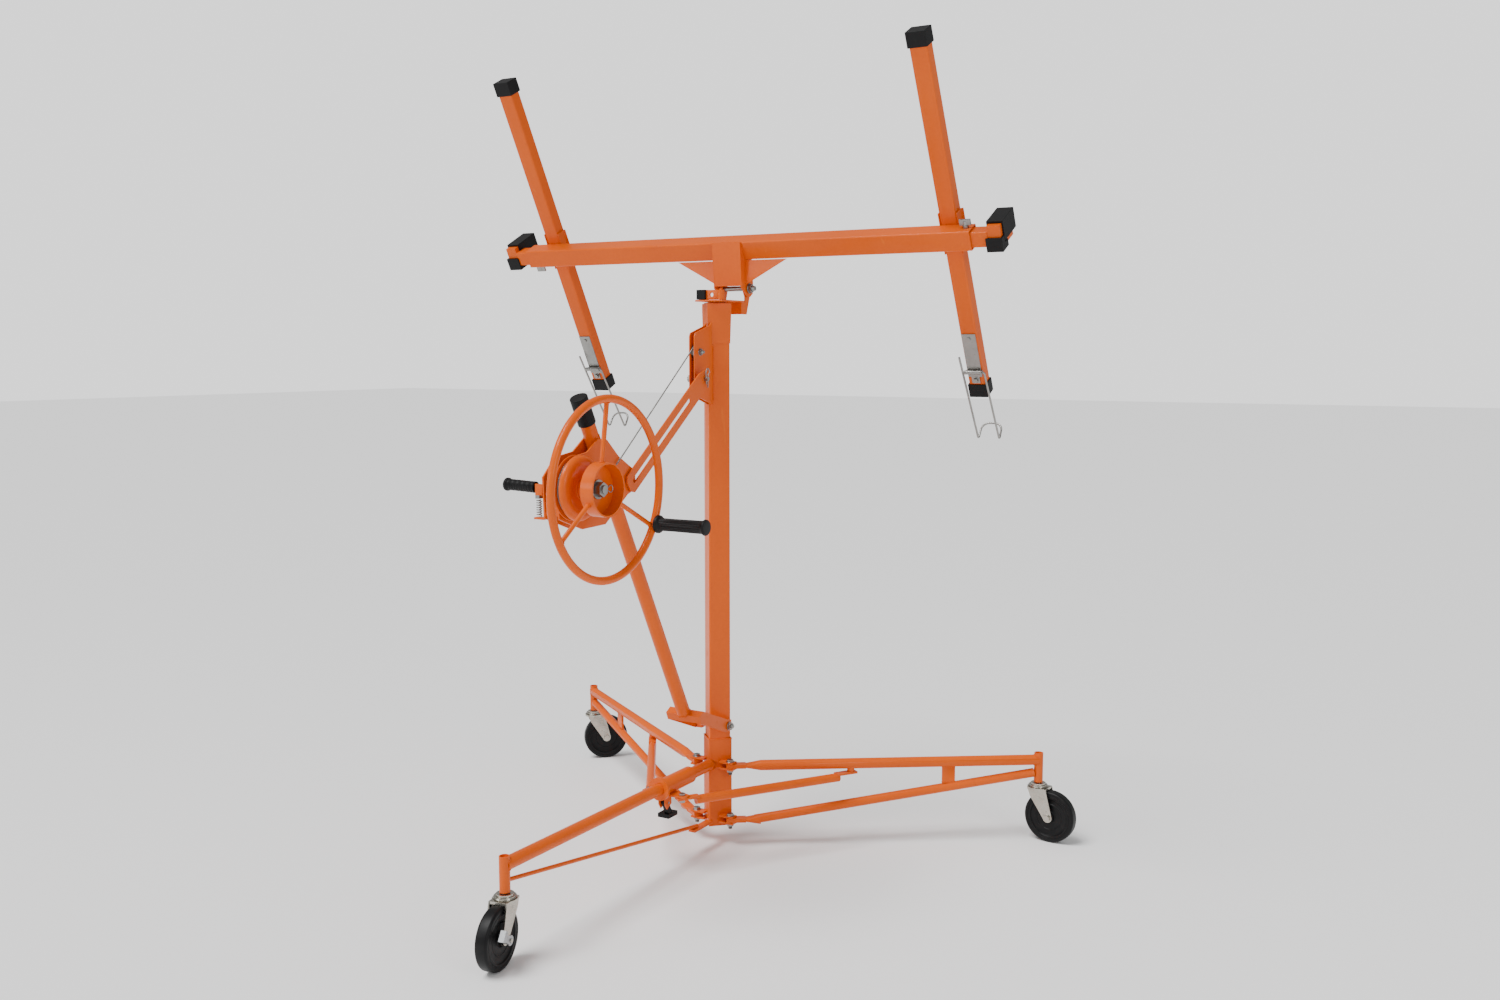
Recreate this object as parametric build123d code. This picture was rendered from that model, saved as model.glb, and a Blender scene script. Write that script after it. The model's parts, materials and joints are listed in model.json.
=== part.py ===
from build123d import *
import os
from math import acos, atan2, cos, degrees, hypot, pi, radians, sin

# Drywall lift: a folding tripod on casters, a three-stage square mast raised by a
# cable winch with a hand wheel, and a tilting cradle that carries the board.
# Frame: origin on the floor under the mast axis, +Z up, the main leg and the
# winch towards -Y, the cradle's crossbar along X. Millimetres.

# --- Mast: three nested square tubes, one corner towards the winch ---
OUTER_SIZE = 52.0
OUTER_WALL = 2.5
OUTER_FOOT = 50.0
OUTER_TOP = 1316.0
MIDDLE_SIZE = 44.0
INNER_SIZE = 36.0
INNER_TOP = 1318.0
CORNER_RADIUS = 4.0
BORE_RADIUS = 1.6
SOCKET_SIZE = 58.0
SOCKET_FOOT = 45.0
SOCKET_TOP = 262.0
CORNER = OUTER_SIZE / 2 ** 0.5

# --- Base: one fixed main leg and two side legs that fold towards it ---
LEG_Z = 200.0
MAIN_LEG_RADIUS = 14.0
MAIN_LEG_REACH = 800.0
SIDE_LEG_RADIUS = 12.7
SIDE_LEG_LENGTH = 762.0
SIDE_LEG_ANGLE = 34.0
HINGE_X = 48.0
HINGE_Y = -20.0
LOW_HINGE_Z = 65.0
PRESSED_END = 74.0
STRUT_AT = 537.0
STUB_AT = 295.0
POST_RADIUS = 11.0
POST_FOOT = 145.0
POST_TOP = 218.0

# --- Casters: 5 in wheels ---
WHEEL_RADIUS = 63.5
WHEEL_WIDTH = 28.0
TRAIL = 34.0
STEM_RADIUS = 5.5
FORK_TOP = 133.5
RACE_TOP = 143.0
CHEEK_END = 11.5

# --- Sliding collar and fold links ---
SLEEVE_BORE = 14.3
SLEEVE_RADIUS = 20.0
SLEEVE_SPAN = (-255.0, -130.0)
EAR_X = 45.0
EAR_Y = -230.0
LINK_RADIUS = 10.5
LINK_TOP = 180.5
PEDAL_PIVOT = (-208.0, 152.0)
PEDAL_X = (-24.0, -10.0)

# --- Winch frame ---
YOKE_PIVOT = (-24.0, 300.0)
TUBE_FOOT = (-150.0, 352.0)
TUBE_HEAD = (-540.0, 1104.0)
TUBE_RADIUS = 16.0
SHAFT = (-594.0, 927.0)
PLATE_OUTLINE = [(-600, 988), (-640, 950), (-636, 866), (-560, 838), (-480, 840), (-398, 896),
                 (-370, 905), (-370, 945), (-430, 980), (-472, 1018), (-502, 1022), (-540, 996)]
DRUM_RADIUS = 55.0
DRUM_FLANGE = 67.0
DRUM_X = (24.0, 52.0)
RIM_X = 110.0
RIM_RADIUS = 182.0
RIM_TUBE = 8.5
GRIP_ANGLE = -28.0
STRUT_TOP = (-95.0, 1138.0)
STRUT_REACH = 357.0
STRUT_SLOPE = 36.5
STRUT_X = (22.0, 26.0)
BRAKE_PIVOT = (-30.0, -626.0, 927.0)

# --- Cable and its pulley on the mast ---
CABLE_RADIUS = 1.75
PULLEY = (-86.0, 1200.0)
PULLEY_GROOVE = 16.0
CABLE_RISE = 36.0
CABLE_DIP = 12.0

# --- Cradle: tilted for loading at rest, flat when it is turned to the front ---
TILT = 62.0
TILT_PIVOT = (85.0, 1352.0)
LATCH_PIN = (32.0, -32.0)
BAR_CENTRE = (76.0, 1450.0)
BAR_SIZE = 46.0
BAR_WALL = 3.0
BAR_HALF = 614.0
ARM_X = 552.0
ARM_WIDTH = 40.0
ARM_DEPTH = 34.0
ARM_ABOVE = 450.0
ARM_BELOW = 415.0
ARM_WALL = 2.5
EXTENSION_SIZE = 36.0
HOOK_WIRE = 2.5
HOOK_PIVOT_Y = 344.0
HOOK_REACH = 540.0
HOOK_HALF = 26.5
HOOK_SLOPE = 0.112
HOOK_LIP = 38.0
CLIP_HEIGHT = 10.0
POST_X = (652.0, 682.0)
PAD_X = (648.0, 686.0)
EXTENSION_FOOT = 390.0

# --- Fits ---
PIN_CLEARANCE = 0.06
MOVING_GAP = 0.7

nodes = {}


def direction(start, end):
    return Vector(*end) - Vector(*start)


def rod(start, end, radius):
    """A round bar from one point to another."""
    along = direction(start, end)
    plane = Plane(origin=start, z_dir=along)
    return plane * extrude(Circle(radius), along.length)


def pipe(start, end, radius, bore):
    """A round tube, open at both ends."""
    return rod(start, end, radius) - rod(start, end, bore)


def block(x, y, z):
    """A box between two values on each axis."""
    size = Box(x[1] - x[0], y[1] - y[0], z[1] - z[0])
    return Pos((x[0] + x[1]) / 2, (y[0] + y[1]) / 2, (z[0] + z[1]) / 2) * size


def side_plate(outline, x):
    """A plate whose outline lies in the YZ plane, between two X values."""
    face = make_face(Polyline(*outline, close=True))
    return Plane.YZ.offset(x[0]) * extrude(face, x[1] - x[0])


def flat_plate(outline, z):
    """A horizontal plate with an XY outline, between two heights."""
    face = make_face(Polyline(*outline, close=True))
    return Plane.XY.offset(z[0]) * extrude(face, z[1] - z[0])


def square_section(size, wall):
    """Section of a square tube with rounded corners, as rolled tube has."""
    bore = size - 2 * wall
    return RectangleRounded(size, size, CORNER_RADIUS) - RectangleRounded(bore, bore, BORE_RADIUS)


def diamond_tube(size, wall, z):
    """An upright square tube turned so that its corners lie on X and Y."""
    section = square_section(size, wall)
    return Pos(0, 0, z[0]) * Rot(0, 0, 45) * extrude(section, z[1] - z[0])


def square_bar(size, z):
    return Pos(0, 0, z[0]) * Rot(0, 0, 45) * extrude(Rectangle(size, size), z[1] - z[0])


def hex_head(centre, axis, across, thickness):
    """A hexagonal bolt head or nut, standing on centre along axis."""
    plane = Plane(origin=centre, z_dir=axis)
    return plane * extrude(RegularPolygon(across / 2, 6, major_radius=False), thickness)


def bolt(start, end, radius, across, head):
    """A bolt shank with a hexagonal head at each end, outside start and end."""
    along = direction(start, end).normalized()
    shank = rod(start, end, radius)
    first = hex_head(start, along * -1, across, head)
    second = hex_head(end, along, across, head)
    return shank + first + second


def mirror_x(part):
    return mirror(part, about=Plane.YZ)


def group(*solids):
    return Compound(children=[s for part in solids for s in part.solids()])


# ---------------------------------------------------------------- mast and socket
def mast_socket():
    body = diamond_tube(SOCKET_SIZE, (SOCKET_SIZE - OUTER_SIZE) / 2, (SOCKET_FOOT, SOCKET_TOP))
    body += square_bar(SOCKET_SIZE, (SOCKET_FOOT, OUTER_FOOT))
    for side in (-1, 1):
        for z in (LEG_Z, LOW_HINGE_Z):
            for level in (z + 5.7, z - 9.7):
                ear = block(sorted((side * 22, side * 60)), (HINGE_Y - 11, HINGE_Y + 11), (level, level + 4))
                ear -= square_bar(OUTER_SIZE + 1, (level - 1, level + 5))
                ear -= rod((side * HINGE_X, HINGE_Y, level - 1),
                           (side * HINGE_X, HINGE_Y, level + 5), 5.0)
                body += ear
    return body


def mast_outer():
    body = diamond_tube(OUTER_SIZE, OUTER_WALL, (OUTER_FOOT, OUTER_TOP))
    for side in (-1, 1):
        ear = block(sorted((side * 24, side * 38)), (-36, -12), (288, 312))
        ear -= square_bar(OUTER_SIZE - OUTER_WALL, (280, 320))
        ear -= rod((side * 20, YOKE_PIVOT[0], YOKE_PIVOT[1]),
                   (side * 40, YOKE_PIVOT[0], YOKE_PIVOT[1]), 5.0)
        body += ear
    entry = rod((0, -46, cable_entry_z() + 1), (0, -30, cable_entry_z() - 1), 4.0)
    return body - entry + mast_collar()


def mast_collar():
    """Flared guide plates welded round the top of the outer tube."""
    foot = Plane.XY.offset(OUTER_TOP - 96) * Rot(0, 0, 45) * Rectangle(53.5, 53.5)
    top = Plane.XY.offset(OUTER_TOP - 16) * Rot(0, 0, 45) * Rectangle(58, 58)
    shell = loft([foot, top])
    shell += Pos(0, 0, OUTER_TOP - 16) * Rot(0, 0, 45) * extrude(Rectangle(58, 58), 14)
    shell -= square_bar(OUTER_SIZE + 0.02, (OUTER_TOP - 120, OUTER_TOP + 10))
    return shell


def sliding_tube(size, foot, top):
    return diamond_tube(size, 2.5, (foot, top))


# ---------------------------------------------------------------- base legs
def main_leg():
    inner = -CORNER - 3.0
    body = pipe((0, inner, LEG_Z), (0, -MAIN_LEG_REACH, LEG_Z), MAIN_LEG_RADIUS, MAIN_LEG_RADIUS - 2)
    body += rod((0, -MAIN_LEG_REACH, POST_FOOT), (0, -MAIN_LEG_REACH, POST_TOP), POST_RADIUS)
    body -= square_bar(SOCKET_SIZE + 0.02, (100, 300))
    body -= rod((0, -MAIN_LEG_REACH, POST_FOOT - 1), (0, -MAIN_LEG_REACH, POST_TOP - 9), STEM_RADIUS + 0.1)
    mouth = rod((0, -MAIN_LEG_REACH, POST_TOP - 5), (0, -MAIN_LEG_REACH, POST_TOP + 1), POST_RADIUS - 2.5)
    return body - mouth


def main_leg_brace():
    outer = (0, -MAIN_LEG_REACH + POST_RADIUS - 1, 166)
    inner = (0, -96, 64)
    body = rod(outer, inner, 4.5)
    body += block((-9, 9), (-120, -40), (55, 61))
    body -= square_bar(SOCKET_SIZE + 0.02, (30, 300))
    return body - rod((0, -MAIN_LEG_REACH, 140), (0, -MAIN_LEG_REACH, 220), POST_RADIUS)


def along_leg(distance, side=1):
    """A point on a side leg, at a distance from its hinge pin."""
    angle = radians(SIDE_LEG_ANGLE)
    return (side * (HINGE_X + distance * cos(angle)), HINGE_Y + distance * sin(angle))


def leg_frame(distance, z):
    x, y = along_leg(distance)
    angle = radians(SIDE_LEG_ANGLE)
    return Plane(origin=(x, y, z), x_dir=(cos(angle), sin(angle), 0), z_dir=(0, 0, 1))


def hinge_tongue(z):
    """The end of a leg tube, pressed flat between the socket's two ears."""
    tongue = leg_frame(14, z) * Box(48, 24, 9.6)
    angle = radians(SIDE_LEG_ANGLE)
    along = (cos(angle), sin(angle), 0)
    aside = (-sin(angle), cos(angle), 0)
    flat = Plane(origin=(*along_leg(34), z), x_dir=aside, z_dir=along) * Ellipse(13.2, 4.8)
    full = Plane(origin=(*along_leg(PRESSED_END), z), x_dir=aside, z_dir=along) * Circle(SIDE_LEG_RADIUS)
    tongue += loft([flat, full])
    pin_hole = rod((HINGE_X, HINGE_Y, z - 20), (HINGE_X, HINGE_Y, z + 20), 5.0 + PIN_CLEARANCE)
    return tongue - pin_hole


def leg_tube():
    start = along_leg(PRESSED_END)
    end = along_leg(SIDE_LEG_LENGTH)
    body = rod((*start, LEG_Z), (*end, LEG_Z), SIDE_LEG_RADIUS)
    body += rod((*end, POST_FOOT), (*end, POST_TOP), POST_RADIUS)
    body += hinge_tongue(LEG_Z)
    stub = along_leg(STUB_AT)
    body += rod((*stub, LINK_TOP + MOVING_GAP), (*stub, LEG_Z - 5), 9.0)
    bore = rod((*end, POST_FOOT - 1), (*end, POST_TOP - 9), STEM_RADIUS + 0.1)
    return body - bore - rod((*end, POST_TOP - 5), (*end, POST_TOP + 1), POST_RADIUS - 2.5)


def leg_brace():
    """The lower tube of a side leg with the flat strut that joins it to the upper one."""
    start = (*along_leg(60), LOW_HINGE_Z)
    end = (*along_leg(SIDE_LEG_LENGTH - POST_RADIUS - 1), 168)
    body = rod(start, end, 11.0)
    body += hinge_tongue(LOW_HINGE_Z)
    height = LOW_HINGE_Z + (168 - LOW_HINGE_Z) * (STRUT_AT - 48) / (SIDE_LEG_LENGTH - 60)
    top = LEG_Z - SIDE_LEG_RADIUS + 1.0
    body += leg_frame(STRUT_AT, (height + top) / 2) * Box(32, 6, top - height)
    keep_out = rod((*along_leg(20), LEG_Z), (*along_leg(800), LEG_Z), SIDE_LEG_RADIUS)
    post = rod((*along_leg(SIDE_LEG_LENGTH), 140), (*along_leg(SIDE_LEG_LENGTH), 220), POST_RADIUS)
    return body - keep_out - post


def base_bolts():
    """Hinge bolts of the two side legs, the winch yoke's bolt ends and the pulley bolt."""
    pins = []
    for side in (-1, 1):
        for z in (LEG_Z, LOW_HINGE_Z):
            x = side * HINGE_X
            pins.append(bolt((x, HINGE_Y, z - 9.7), (x, HINGE_Y, z + 9.7), 5.0, 15, 6))
        x = side * 24.5
        pins.append(rod((x, *YOKE_PIVOT), (side * 47.5, *YOKE_PIVOT), 5.0)
                    + hex_head((side * 47.5, *YOKE_PIVOT), (side, 0, 0), 17, 7))
    pins.append(bolt((-8, *PULLEY), (8, *PULLEY), 4.0, 13, 5))
    return group(*pins)


# ---------------------------------------------------------------- casters
def cheek_outline():
    """Side of a caster fork: it tapers down to a round end about the axle."""
    taper = [(-20, FORK_TOP), (28, FORK_TOP), (TRAIL + CHEEK_END, WHEEL_RADIUS + 2),
             (TRAIL - CHEEK_END + 1, WHEEL_RADIUS - 4), (-12, 112)]
    return make_face(Polyline(*taper, close=True)) + Pos(TRAIL, WHEEL_RADIUS) * Circle(CHEEK_END)


def caster_parts(x, y, heading):
    """Fork with its stem and axle, and the wheel, trailing towards heading degrees."""
    place = Pos(x, y, 0) * Rot(0, 0, heading)
    stem = rod((0, 0, FORK_TOP), (0, 0, POST_TOP - 11), STEM_RADIUS)
    race = rod((0, 0, FORK_TOP - 1), (0, 0, RACE_TOP - 4), 22.0)
    race += rod((0, 0, RACE_TOP - 5), (0, 0, RACE_TOP), 18.0)
    race += rod((0, 0, FORK_TOP - 5), (0, 0, FORK_TOP), 26.0)
    fork = stem + race
    fork += Pos(4, 0, FORK_TOP - 2.5) * Box(48, 42, 5)
    for side in (-1, 1):
        cheek = Plane(origin=(0, side * 19.5 + 1.5, 0), x_dir=(1, 0, 0), z_dir=(0, -1, 0))
        fork += cheek * extrude(cheek_outline(), 3)
    fork -= rod((TRAIL, -30, WHEEL_RADIUS), (TRAIL, 30, WHEEL_RADIUS), 4.0)
    axle = bolt((TRAIL, -21.0, WHEEL_RADIUS), (TRAIL, 21.0, WHEEL_RADIUS), 4.0, 14, 5)
    axle += rod((TRAIL, 21.0, WHEEL_RADIUS), (TRAIL, 34.0, WHEEL_RADIUS), 4.0)
    wheel = rod((TRAIL, -WHEEL_WIDTH / 2, WHEEL_RADIUS), (TRAIL, WHEEL_WIDTH / 2, WHEEL_RADIUS), WHEEL_RADIUS)
    wheel = fillet(wheel.edges().filter_by(GeomType.CIRCLE), 6)
    wheel -= rod((TRAIL, 11, WHEEL_RADIUS), (TRAIL, 20, WHEEL_RADIUS), 42)
    wheel -= rod((TRAIL, -20, WHEEL_RADIUS), (TRAIL, -11, WHEEL_RADIUS), 42)
    wheel += rod((TRAIL, -17.4, WHEEL_RADIUS), (TRAIL, 17.4, WHEEL_RADIUS), 14)
    wheel -= rod((TRAIL, -20, WHEEL_RADIUS), (TRAIL, 20, WHEEL_RADIUS), 4.0 + PIN_CLEARANCE)
    return place * group(fork, axle), place * wheel


def caster_brake(x, y, heading):
    """Foot lever on the end of the front wheel's axle."""
    place = Pos(x, y, 0) * Rot(0, 0, heading)
    lever = rod((TRAIL, 26.7, WHEEL_RADIUS), (TRAIL, 31.2, WHEEL_RADIUS), 10)
    lever += Pos(TRAIL + 18, 29, WHEEL_RADIUS + 12) * Rot(0, -34, 0) * Box(34, 4.4, 15)
    lever += Pos(TRAIL + 32, 33, WHEEL_RADIUS + 21) * Rot(0, -34, 0) * Box(8, 12, 22)
    return place * (lever - rod((TRAIL, 20, WHEEL_RADIUS), (TRAIL, 40, WHEEL_RADIUS), 4.0 + PIN_CLEARANCE))


# ---------------------------------------------------------------- collar, links, pedal
def slide_collar():
    near, far = SLEEVE_SPAN[1], SLEEVE_SPAN[0]
    body = rod((0, near, LEG_Z), (0, far, LEG_Z), SLEEVE_RADIUS)
    ring = side_ring((far - 5, far + 3))
    ears = flat_plate([(-58, EAR_Y - 12), (-58, EAR_Y + 12), (-16, EAR_Y + 22),
                       (16, EAR_Y + 22), (58, EAR_Y + 12), (58, EAR_Y - 12)],
                      (LINK_TOP + MOVING_GAP, LINK_TOP + MOVING_GAP + 4))
    body += ring + ears
    for x in (PEDAL_X[0] - 3, PEDAL_X[1]):
        body += side_plate([(-222, 183), (-196, 183), (-196, 148), (-214, 138), (-222, 150)], (x, x + 3))
    body -= rod((0, near + 10, LEG_Z), (0, far - 10, LEG_Z), SLEEVE_BORE)
    for side in (-1, 1):
        body -= rod((side * EAR_X, EAR_Y, 170), (side * EAR_X, EAR_Y, 190), 4.0)
    return body - rod((PEDAL_X[0] - 9, *PEDAL_PIVOT), (PEDAL_X[1] + 9, *PEDAL_PIVOT), 3.0)


def side_ring(y):
    """An upright ring plate round the main leg."""
    plane = Plane(origin=(0, y[1], LEG_Z), z_dir=(0, -1, 0))
    return plane * extrude(Circle(27), y[1] - y[0])


def collar_bolts():
    pins = []
    level = LINK_TOP + MOVING_GAP + 4
    for side in (-1, 1):
        x = side * EAR_X
        shank = rod((x, EAR_Y, LINK_TOP - 5 - MOVING_GAP), (x, EAR_Y, level), 4.0)
        head = hex_head((x, EAR_Y, level), (0, 0, 1), 13, 5)
        nut = hex_head((x, EAR_Y, LINK_TOP - 5 - MOVING_GAP), (0, 0, -1), 13, 6)
        pins.append(shank + head + nut)
    pins.append(rod((PEDAL_X[0] - 5, *PEDAL_PIVOT), (PEDAL_X[1] + 4, *PEDAL_PIVOT), 3.0))
    return group(*pins)


def link_ends():
    """Where a fold link is held: its ear on the collar and its stub on the leg."""
    stub = along_leg(STUB_AT)
    return (EAR_X, EAR_Y), stub


def fold_link():
    near, far = link_ends()
    axis = LINK_TOP - LINK_RADIUS
    heading = degrees(atan2(far[1] - near[1], far[0] - near[0]))
    length = hypot(far[0] - near[0], far[1] - near[1])
    body = rod((34, 0, axis), (length - 34, 0, axis), LINK_RADIUS)
    for centre in (14, length - 14):
        body += Pos(centre, 0, LINK_TOP - 2.5) * Box(56, 20, 5)
    for x in (0, length):
        body -= rod((x, 0, 160), (x, 0, 190), 4.0 + PIN_CLEARANCE)
    return Pos(near[0], near[1], 0) * Rot(0, 0, heading) * body


def foot_pedal():
    near, far = PEDAL_X[0] + MOVING_GAP, PEDAL_X[1] - MOVING_GAP
    pedal = rod((near, *PEDAL_PIVOT), (far, *PEDAL_PIVOT), 8)
    pedal += side_plate([(-214, 152), (-202, 152), (-186, 122), (-200, 120)], (near, far))
    pedal += block((near - 16, far + 2), (-206, -168), (112, 122))
    return pedal - rod((near - 9, *PEDAL_PIVOT), (far + 9, *PEDAL_PIVOT), 3.0 + PIN_CLEARANCE)


# ---------------------------------------------------------------- winch frame
def winch_tube():
    foot = (0, *TUBE_FOOT)
    head = (0, *TUBE_HEAD)
    return pipe(foot, head, TUBE_RADIUS, TUBE_RADIUS - 2.0)


def winch_tube_cap():
    along = Vector(0, TUBE_HEAD[0] - TUBE_FOOT[0], TUBE_HEAD[1] - TUBE_FOOT[1]).normalized()
    head = Vector(0, *TUBE_HEAD)
    body = rod(head - along * 58, head + along * 5, TUBE_RADIUS + 3)
    body -= rod(head - along * 60, head, TUBE_RADIUS)
    return body


def winch_yoke():
    """Two arms astride the mast, joined by a plate under the winch tube."""
    outline = [(-12, 288), (-12, 313), (-30, 317), (-140, 362), (-158, 352), (-150, 334), (-36, 287)]
    body = side_plate(outline, (40.5, 46.5)) + side_plate(outline, (-46.5, -40.5))
    body += side_plate([(-158, 352), (-140, 362), (-126, 356), (-140, 338), (-150, 334)], (-46.5, 46.5))
    foot = (0, *TUBE_FOOT)
    head = (0, *TUBE_HEAD)
    body -= rod(foot, head, TUBE_RADIUS)
    body -= rod((-60, *YOKE_PIVOT), (60, *YOKE_PIVOT), 5.0 + PIN_CLEARANCE)
    return body


def winch_plates():
    """Two side plates welded to the winch tube that carry the shaft."""
    plates = []
    for x in ((TUBE_RADIUS, 20.0), (-20.0, -TUBE_RADIUS)):
        plate = side_plate(PLATE_OUTLINE, x)
        plate -= rod((-40, *SHAFT), (40, *SHAFT), 9.0 + PIN_CLEARANCE)
        plates.append(plate)
    boss = rod((19, -381, 926), (21.4, -381, 926), 9)
    plates[0] = plates[0] + boss
    cross = block((-TUBE_RADIUS, TUBE_RADIUS), (-634, -628), (872, 900))
    return plates[0] + cross + plates[1] + brake_bracket()


def winch_shaft():
    shaft = rod((-32, *SHAFT), (104, *SHAFT), 9.0)
    shaft += rod((DRUM_X[1], *SHAFT), (82, *SHAFT), 15.0)
    shaft += hex_head((-32, *SHAFT), (1, 0, 0), 26, 10)
    shaft += hex_head((88, *SHAFT), (1, 0, 0), 27, 12)
    return shaft


def cable_drum():
    """The cable drum: a core between two flanges, the outer one a deep dished cup."""
    inner, outer = DRUM_X
    body = rod((inner, *SHAFT), (outer, *SHAFT), DRUM_RADIUS)
    body += rod((inner, *SHAFT), (inner + 3, *SHAFT), DRUM_FLANGE)
    body += rod((inner + 14, *SHAFT), (outer, *SHAFT), DRUM_FLANGE)
    edge = body.edges().filter_by(GeomType.CIRCLE).sort_by(Axis.X)[-1]
    body = fillet(edge, 6)
    return body - rod((0, *SHAFT), (90, *SHAFT), 9.0)


def ratchet_gear():
    """Toothed brake wheel on the shaft between the side plates."""
    teeth = 24
    outline = []
    for i in range(teeth):
        for radius, shift in ((42.0, 0.0), (36.5, 0.9)):
            angle = 2 * pi * (i + shift) / teeth
            outline.append((SHAFT[0] + radius * cos(angle), SHAFT[1] + radius * sin(angle)))
    body = side_plate(outline, (-6, 2)) + rod((-14, *SHAFT), (14, *SHAFT), 16)
    return body - rod((-40, *SHAFT), (40, *SHAFT), 9.0)


def on_wheel(x, angle, radius):
    a = radians(angle)
    return (x, SHAFT[0] + radius * cos(a), SHAFT[1] + radius * sin(a))


def hand_wheel_rim():
    body = Plane(origin=(RIM_X, *SHAFT), z_dir=(1, 0, 0)) * Torus(RIM_RADIUS, RIM_TUBE)
    grip = on_wheel(RIM_X, GRIP_ANGLE, RIM_RADIUS)
    body += rod(grip, on_wheel(RIM_X + 132, GRIP_ANGLE, RIM_RADIUS), 5.0)
    return body


def hand_wheel_hub():
    """Hub cup, open to the front, with its three spokes."""
    body = rod((82, *SHAFT), (112, *SHAFT), 55) - rod((85, *SHAFT), (113, *SHAFT), 51.5)
    body -= rod((70, *SHAFT), (120, *SHAFT), 9.0)
    for angle in (90, -30, 210):
        spoke = rod(on_wheel(96, angle, 54), on_wheel(RIM_X, angle, RIM_RADIUS - 1), 5.0)
        body += spoke
    rim = Plane(origin=(RIM_X, *SHAFT), z_dir=(1, 0, 0)) * Torus(RIM_RADIUS, RIM_TUBE)
    return body - rim


def grip_length(start, end, radius):
    """A round length of the turning grip, beside the rim."""
    return rod(on_wheel(start, GRIP_ANGLE, RIM_RADIUS), on_wheel(end, GRIP_ANGLE, RIM_RADIUS), radius)


def wheel_grip():
    start = RIM_X + RIM_TUBE + 1.0
    body = grip_length(start, start + 8, 19) + grip_length(start + 8, start + 116, 14)
    body += grip_length(start + 116, start + 122, 17)
    return body - grip_length(start - 1, RIM_X + 132.6, 5.0 + PIN_CLEARANCE)


def brake_lever():
    x, y, z = BRAKE_PIVOT
    body = rod((x, y - 9, z), (x, y + 9, z), 7)
    body += rod((x - 4, y, z), (x - 86, y, z + 3), 5)
    body += block((x - 14, x - 4), (y - 6, y + 6), (z - 22, z + 2))
    body -= rod((x, y - 20, z), (x, y + 20, z), 4.0 + PIN_CLEARANCE)
    return body


def brake_grip():
    x, y, z = BRAKE_PIVOT
    start = Vector(x - 16, y, z + 0.45)
    end = Vector(x - 90, y, z + 3.15)
    body = rod(start, end, 12) + rod(end, end + Vector(-5, 0, 0.2), 14)
    return body - rod((x - 4, y, z), (x - 86, y, z + 3), 5)


def brake_bracket():
    """Cheeks that hold the brake lever's pin, and below them the spring's foot plate."""
    x, y, z = BRAKE_PIVOT
    body = None
    for side in (-1, 1):
        near = y + side * 9.7
        cheek = block((x - 8, -20), sorted((near, near + side * 4)), (z - 14, z + 9))
        body = cheek if body is None else body + cheek
    body += block((x - 16, -20), (y - 9, y + 9), (z - 64, z - 60))
    body += rod((x, y - 13.7, z), (x, y + 13.7, z), 4.0)
    return body


def brake_spring():
    x, y, z = BRAKE_PIVOT
    height = 36.5
    path = Helix(pitch=5.2, height=height - 3, radius=5.0, center=(x - 9, y, z - 59 + 1.2))
    section = Plane(origin=path @ 0, z_dir=path % 0) * Circle(1.1)
    return sweep(section, path=path)


def strut_point(distance, offset):
    """A point in the brace's plane, along it from its upper pin and across it."""
    a = radians(STRUT_SLOPE)
    y = STRUT_TOP[0] - distance * cos(a) - offset * sin(a)
    z = STRUT_TOP[1] - distance * sin(a) + offset * cos(a)
    return (y, z)


def strut_bar():
    half = 23.0
    outline = [strut_point(-14, 14), strut_point(-18, 0), strut_point(-14, -14), strut_point(10, -half),
               strut_point(STRUT_REACH + 14, -half), strut_point(STRUT_REACH + 24, -12),
               strut_point(STRUT_REACH + 24, 12), strut_point(STRUT_REACH + 14, half), strut_point(10, half)]
    body = side_plate(outline, STRUT_X)
    slot = [strut_point(82, 5.5), strut_point(STRUT_REACH, 5.5),
            strut_point(STRUT_REACH, -5.5), strut_point(82, -5.5)]
    cut = side_plate(slot, (STRUT_X[0] - 1, STRUT_X[1] + 1))
    for end in (82, STRUT_REACH):
        y, z = strut_point(end, 0)
        cut += rod((STRUT_X[0] - 1, y, z), (STRUT_X[1] + 1, y, z), 5.5)
    cut += rod((STRUT_X[0] - 1, *STRUT_TOP), (STRUT_X[1] + 1, *STRUT_TOP), 4.5 + PIN_CLEARANCE)
    return body - cut


# ---------------------------------------------------------------- pulley and cable
def pulley_bracket():
    outline = [(-22, 1284), (-44, 1262), (-106, 1244), (-110, 1236), (-110, 1112), (-104, 1100), (-26, 1074)]
    body = side_plate(outline, (5.0, 8.0)) + side_plate(outline, (-8.0, -5.0))
    body += rod((8.0, *STRUT_TOP), (STRUT_X[0] - MOVING_GAP, *STRUT_TOP), 8.0)
    body -= square_bar(OUTER_SIZE, (1000, 1300))
    body -= rod((-20, *PULLEY), (20, *PULLEY), 4.0)
    body -= rod((-20, *STRUT_TOP), (40, *STRUT_TOP), 4.5)
    collar = Pos(0, 0, OUTER_TOP - 100) * Rot(0, 0, 45) * extrude(Rectangle(61, 61), 100)
    return group(body - collar)


def cable_pulley():
    half = 4.2
    body = rod((-half, *PULLEY), (half, *PULLEY), PULLEY_GROOVE + 5)
    groove = Plane(origin=(0, *PULLEY), z_dir=(1, 0, 0)) * Torus(PULLEY_GROOVE + 3.9, 3.2)
    body -= groove
    return body - rod((-9, *PULLEY), (9, *PULLEY), 4.0 + PIN_CLEARANCE)


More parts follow.
